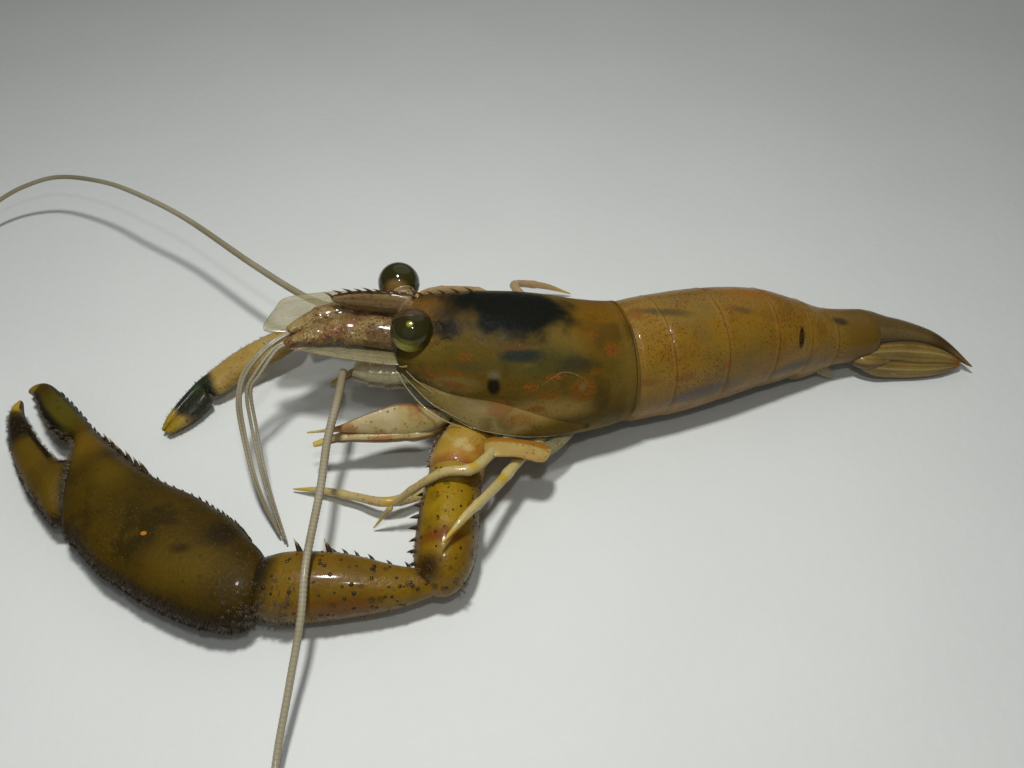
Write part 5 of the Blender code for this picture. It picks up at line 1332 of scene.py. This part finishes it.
spots += spots_on(skin_of("great_palm"), ((-21.4, -17.0, 3.2), (-23.4, -14.2, 3.2), (-26.4, -12.0, 3.2),
                                          (-31.5, -9.0, 3.0), (-35.6, -5.9, 2.8), (-39.0, -2.8, 2.7),
                                          (-42.6, 0.4, 2.6)), 38, (0.4, -1, 0), (-0.1, 0, 0), 0.70)
spots += spots_on(skin_of("great_palm"), ((-32.0, -9.2, 4.4), (-36.6, -5.4, 3.8)), 6, (0.4, -1, -0.25),
                  (-0.2, 0.1, 0.2), 1.25)
spots += spots_on(skin_of("great_finger"), ((-41.6, -15.6, 2.6), (-45.3, -10.4, 2.6), (-46.8, -6.0, 2.5)), 18,
                  (1, 0.35, 0), (-0.1, 0.9, 0), 0.4)
keep(planted("great_claw_thorns", spine, spots), "great_claw", thorn_finish)
print("great claw set, thorns:", len(spots))


# %% [markdown]
# The right arm is slim and folded forward under the head. It is built in the same way, and its palm is
# orange and straw coloured with a blue-green band.

# %% Small claw
SMALL = {
    "ischium": ((-3.0, 1.0, 4.4, 1.1), (-4.6, 4.6, 3.9, 1.2), (-6.6, 6.6, 3.6, 1.15)),
    "merus": ((-6.7, 6.7, 3.6, 1.1), (-10.0, 7.4, 3.5, 1.3), (-13.4, 7.0, 3.6, 1.1)),
    "carpus": ((-13.5, 7.0, 3.6, 0.9), (-17.0, 5.9, 3.7, 1.3), (-20.0, 4.5, 3.6, 1.2)),
}
for name, stations in SMALL.items():
    keep(drawn_out("small_" + name, limb_rings(stations, 24, 20)), "small_claw", small_claw_finish,
         "claw_right_" + name)
SMALL_PALM = ((-20.1, 5.6, -20.7, 3.4, 3.5, 1.05), (-23.2, 4.8, -22.6, 1.9, 3.0, 1.25),
              (-26.4, 3.0, -25.2, 0.3, 2.4, 1.2), (-28.9, 0.7, -27.7, -1.6, 1.8, 1.05),
              (-29.9, -0.4, -28.9, -1.2, 1.6, 0.8), (-31.0, -2.1, -30.1, -2.7, 1.3, 0.65),
              (-31.9, -4.0, -31.2, -4.3, 1.0, 0.5), (-32.2, -5.2, -31.9, -5.2, 0.7, 0.25))
SMALL_FINGER = ((-28.9, -1.0, -28.0, -2.2, 1.65, 0.85), (-30.1, -2.6, -28.9, -3.6, 1.3, 0.75),
                (-31.2, -4.2, -30.1, -4.8, 1.0, 0.55), (-31.9, -5.3, -31.4, -5.6, 0.7, 0.25))
keep(drawn_out("small_palm", blade_rings(edges(SMALL_PALM), 40, 24)), "small_claw", small_claw_finish,
     "claw_right_palm")
keep(drawn_out("small_finger", blade_rings(edges(SMALL_FINGER), 20, 16)), "small_claw", small_claw_finish,
     "claw_right_finger")
print("small claw set")


# %% [markdown]
# The great claw is rough: low dark bumps stand all over the arm, and short grey-brown hair grows in a
# velvet along its outer edge, between the fingers and at the joints. A bump is a flattened ball. A tuft is
# four fine hairs, each a three-sided cone bent over, joined once and planted on points of the shell. The
# tufts keep a small patch of the shell's own unwrap, so that a coat's colour can be kept with it.

# %% Bumps and hair
def tuft(name, hairs, length, radius, fan):
    """A few bent hairs from one root, joined into one pattern."""
    strands = []
    for number in range(hairs):
        own = length * random.uniform(0.7, 1.0)
        strand = thorn(f"{name}_{number}", 3, own, radius, 0.25, cuts=(0.35, 0.7))
        tip = Matrix.Rotation(fan * random.uniform(0.3, 1.0), 4, "Y")
        strand.data.transform(Matrix.Rotation(2 * math.pi * number / hairs, 4, "Z") @ tip)
        strands.append(strand)
    rest_hands()
    for strand in strands:
        strand.select_set(True)
    bpy.context.view_layer.objects.active = strands[0]
    bpy.ops.object.join()
    strands[0].name = name
    return strands[0]


def knob(name, radius):
    """A low round bump: a small ball, flattened and cut off below in edit mode."""
    rest_hands()
    bpy.ops.mesh.primitive_ico_sphere_add(subdivisions=2, radius=radius * MM)
    piece = bpy.context.object
    piece.name = name
    bpy.ops.object.mode_set(mode="EDIT")
    bpy.ops.mesh.select_all(action="SELECT")
    bpy.ops.transform.resize(value=(1, 1, 0.6))
    bpy.ops.mesh.bisect(plane_co=(0, 0, -radius * 0.3 * MM), plane_no=(0, 0, 1), clear_inner=True)
    bpy.ops.object.mode_set(mode="OBJECT")
    return piece


MARGIN = 0.02  # the edge of the unwrap that stays free


def scattered(skin, count, where, lean, tall, spread=0.25, jitter=0.25):
    """Random points of a skin where `where(share, up, across)` holds, by area, with the skin's own unwrap."""
    mesh = bpy.data.objects[skin].data
    mesh.calc_loop_triangles()
    tracks = []
    for track in ("share", "up", "across"):
        values = np.empty(len(mesh.vertices), np.float32)
        mesh.attributes[track].data.foreach_get("value", values)
        tracks.append(values)
    share, up, across = tracks
    spots = np.empty(len(mesh.vertices) * 3)
    mesh.vertices.foreach_get("co", spots)
    spots = spots.reshape(-1, 3)
    normals = np.array([vert.normal for vert in mesh.vertices])
    corners = np.array([triangle.vertices[:] for triangle in mesh.loop_triangles])
    areas = np.array([triangle.area for triangle in mesh.loop_triangles])
    areas = areas * [where(*(track[row].mean() for track in tracks)) for row in corners]
    chance = np.random.default_rng(count)
    picks = chance.choice(len(corners), count, p=areas / areas.sum())
    found, unwraps = [], []
    for pick in picks:
        mix = chance.dirichlet((1, 1, 1))
        row = corners[pick]
        place = mix @ spots[row]
        normal = mix @ normals[row]
        normal = normal / np.linalg.norm(normal) + np.array(lean) + chance.normal(0, jitter, 3)
        found.append((Vector(place), normal, lean, tall * chance.uniform(1 - spread, 1 + spread)))
        angle = math.atan2(float(mix @ up[row]), float(mix @ across[row])) / (2 * math.pi) % 1
        place = (angle, float(np.clip(mix @ share[row], 0, 1)))
        unwraps.append([MARGIN + (1 - 2 * MARGIN) * value for value in place])
    return found, unwraps


TIPS = band(0.5, 1.5, 0.8, 0.4)
hair_finish = finish("claw_hair", (0.16, 0.125, 0.075), [(TIPS, (0.38, 0.33, 0.24))],
                     gloss=(0.4, 0.6), coat=0.0)
dark_hair_finish = finish("claw_dark_hair", (0.040, 0.024, 0.008), [(TIPS, (0.15, 0.100, 0.045))],
                          gloss=(0.4, 0.6), coat=0.0)
HAIRS = 4  # in a tuft
bristle = tuft("hair_pattern", HAIRS, 1.0, 0.030, 0.45)
bump = knob("bump_pattern", 0.15)
COATS = {  # for each skin: the coat's name, tufts, where it grows, its lean and its length in millimetres
    "great_palm": (("outer", 1100, lambda s, u, a: a < -0.88 and 0.03 < s < 0.66, (-0.3, -0.2, 0), 0.40),
                   ("fixed_finger", 420, lambda s, u, a: a < -0.75 and 0.68 < s < 0.97, (-0.2, -0.3, 0), 0.5),
                   ("gap", 260, lambda s, u, a: a < -0.3 and 0.60 < s < 0.70, (-0.4, 0.7, 0.2), 0.7),
                   ("wrist", 70, lambda s, u, a: a < -0.2 and 0.02 < s < 0.07, (0.4, -0.6, 0), 0.6)),
    "great_finger": (("outer", 420, lambda s, u, a: a < -0.78, (-0.3, 0, 0), 0.4),
                     ("inner", 200, lambda s, u, a: a > 0.8 and s < 0.8, (0.3, 0.3, 0), 0.38)),
    "great_carpus": (("lower", 130, lambda s, u, a: a > 0.2 and 0.70 < s < 0.92, (-0.2, -0.8, -0.1), 0.6),
                     ("edge", 90, lambda s, u, a: a > 0.75 and s > 0.2, (0, -0.5, 0), 0.35)),
    "great_merus": (("outer", 130, lambda s, u, a: abs(a) > 0.8 and 0.2 < s < 0.85, (0.2, 0, 0), 0.3),
                    ("elbow", 26, lambda s, u, a: 0.84 < s < 0.93, (0.3, -0.5, 0), 0.8)),
    "small_palm": (("edge", 420, lambda s, u, a: abs(a) > 0.75, (0, -0.2, 0), 0.34),),
    "small_finger": (("edge", 160, lambda s, u, a: abs(a) > 0.7, (0.2, -0.2, 0), 0.30),),
}
hairs = 0
for skin, coats in COATS.items():
    for name, count, where, lean, tall in coats:
        found, unwraps = scattered(skin, count, where, lean, tall)
        keep(planted(f"hair_{skin}_{name}", bristle, found, bake=unwraps),
             "small_claw" if skin.startswith("small") else "great_claw",
             dark_hair_finish if name == "outer" and skin != "great_merus" else hair_finish)
        hairs += HAIRS * count
KNOBS = (("great_carpus", 90, 0.9, 0.3), ("great_merus", 70, 0.7, 0.35), ("great_palm", 260, 0.7, 0.35),
         ("great_finger", 40, 0.7, 0.35))  # a skin, how many, their size and how much that varies
knobs = []
for skin, count, size, spread in KNOBS:
    knobs += scattered(skin, count, lambda s, u, a: u > -0.2, (0, 0, 0), size, spread, 0.05)[0]
keep(planted("great_claw_bumps", bump, knobs), "great_claw", bump_finish)
for pattern in (tooth, spine, hooked, bristle, bump):
    bpy.data.objects.remove(pattern)
print("hairs:", hairs, "bumps:", len(knobs))


# %% Sizes and the end
bpy.context.view_layer.update()
LOOK_BOX = [[float(value) for value in corner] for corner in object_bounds()]
for title, box in (("packed", CAD_BOX), ("visible", LOOK_BOX)):
    print(title, "box in millimetres:", [[round(value / MM, 2) for value in corner] for corner in box])
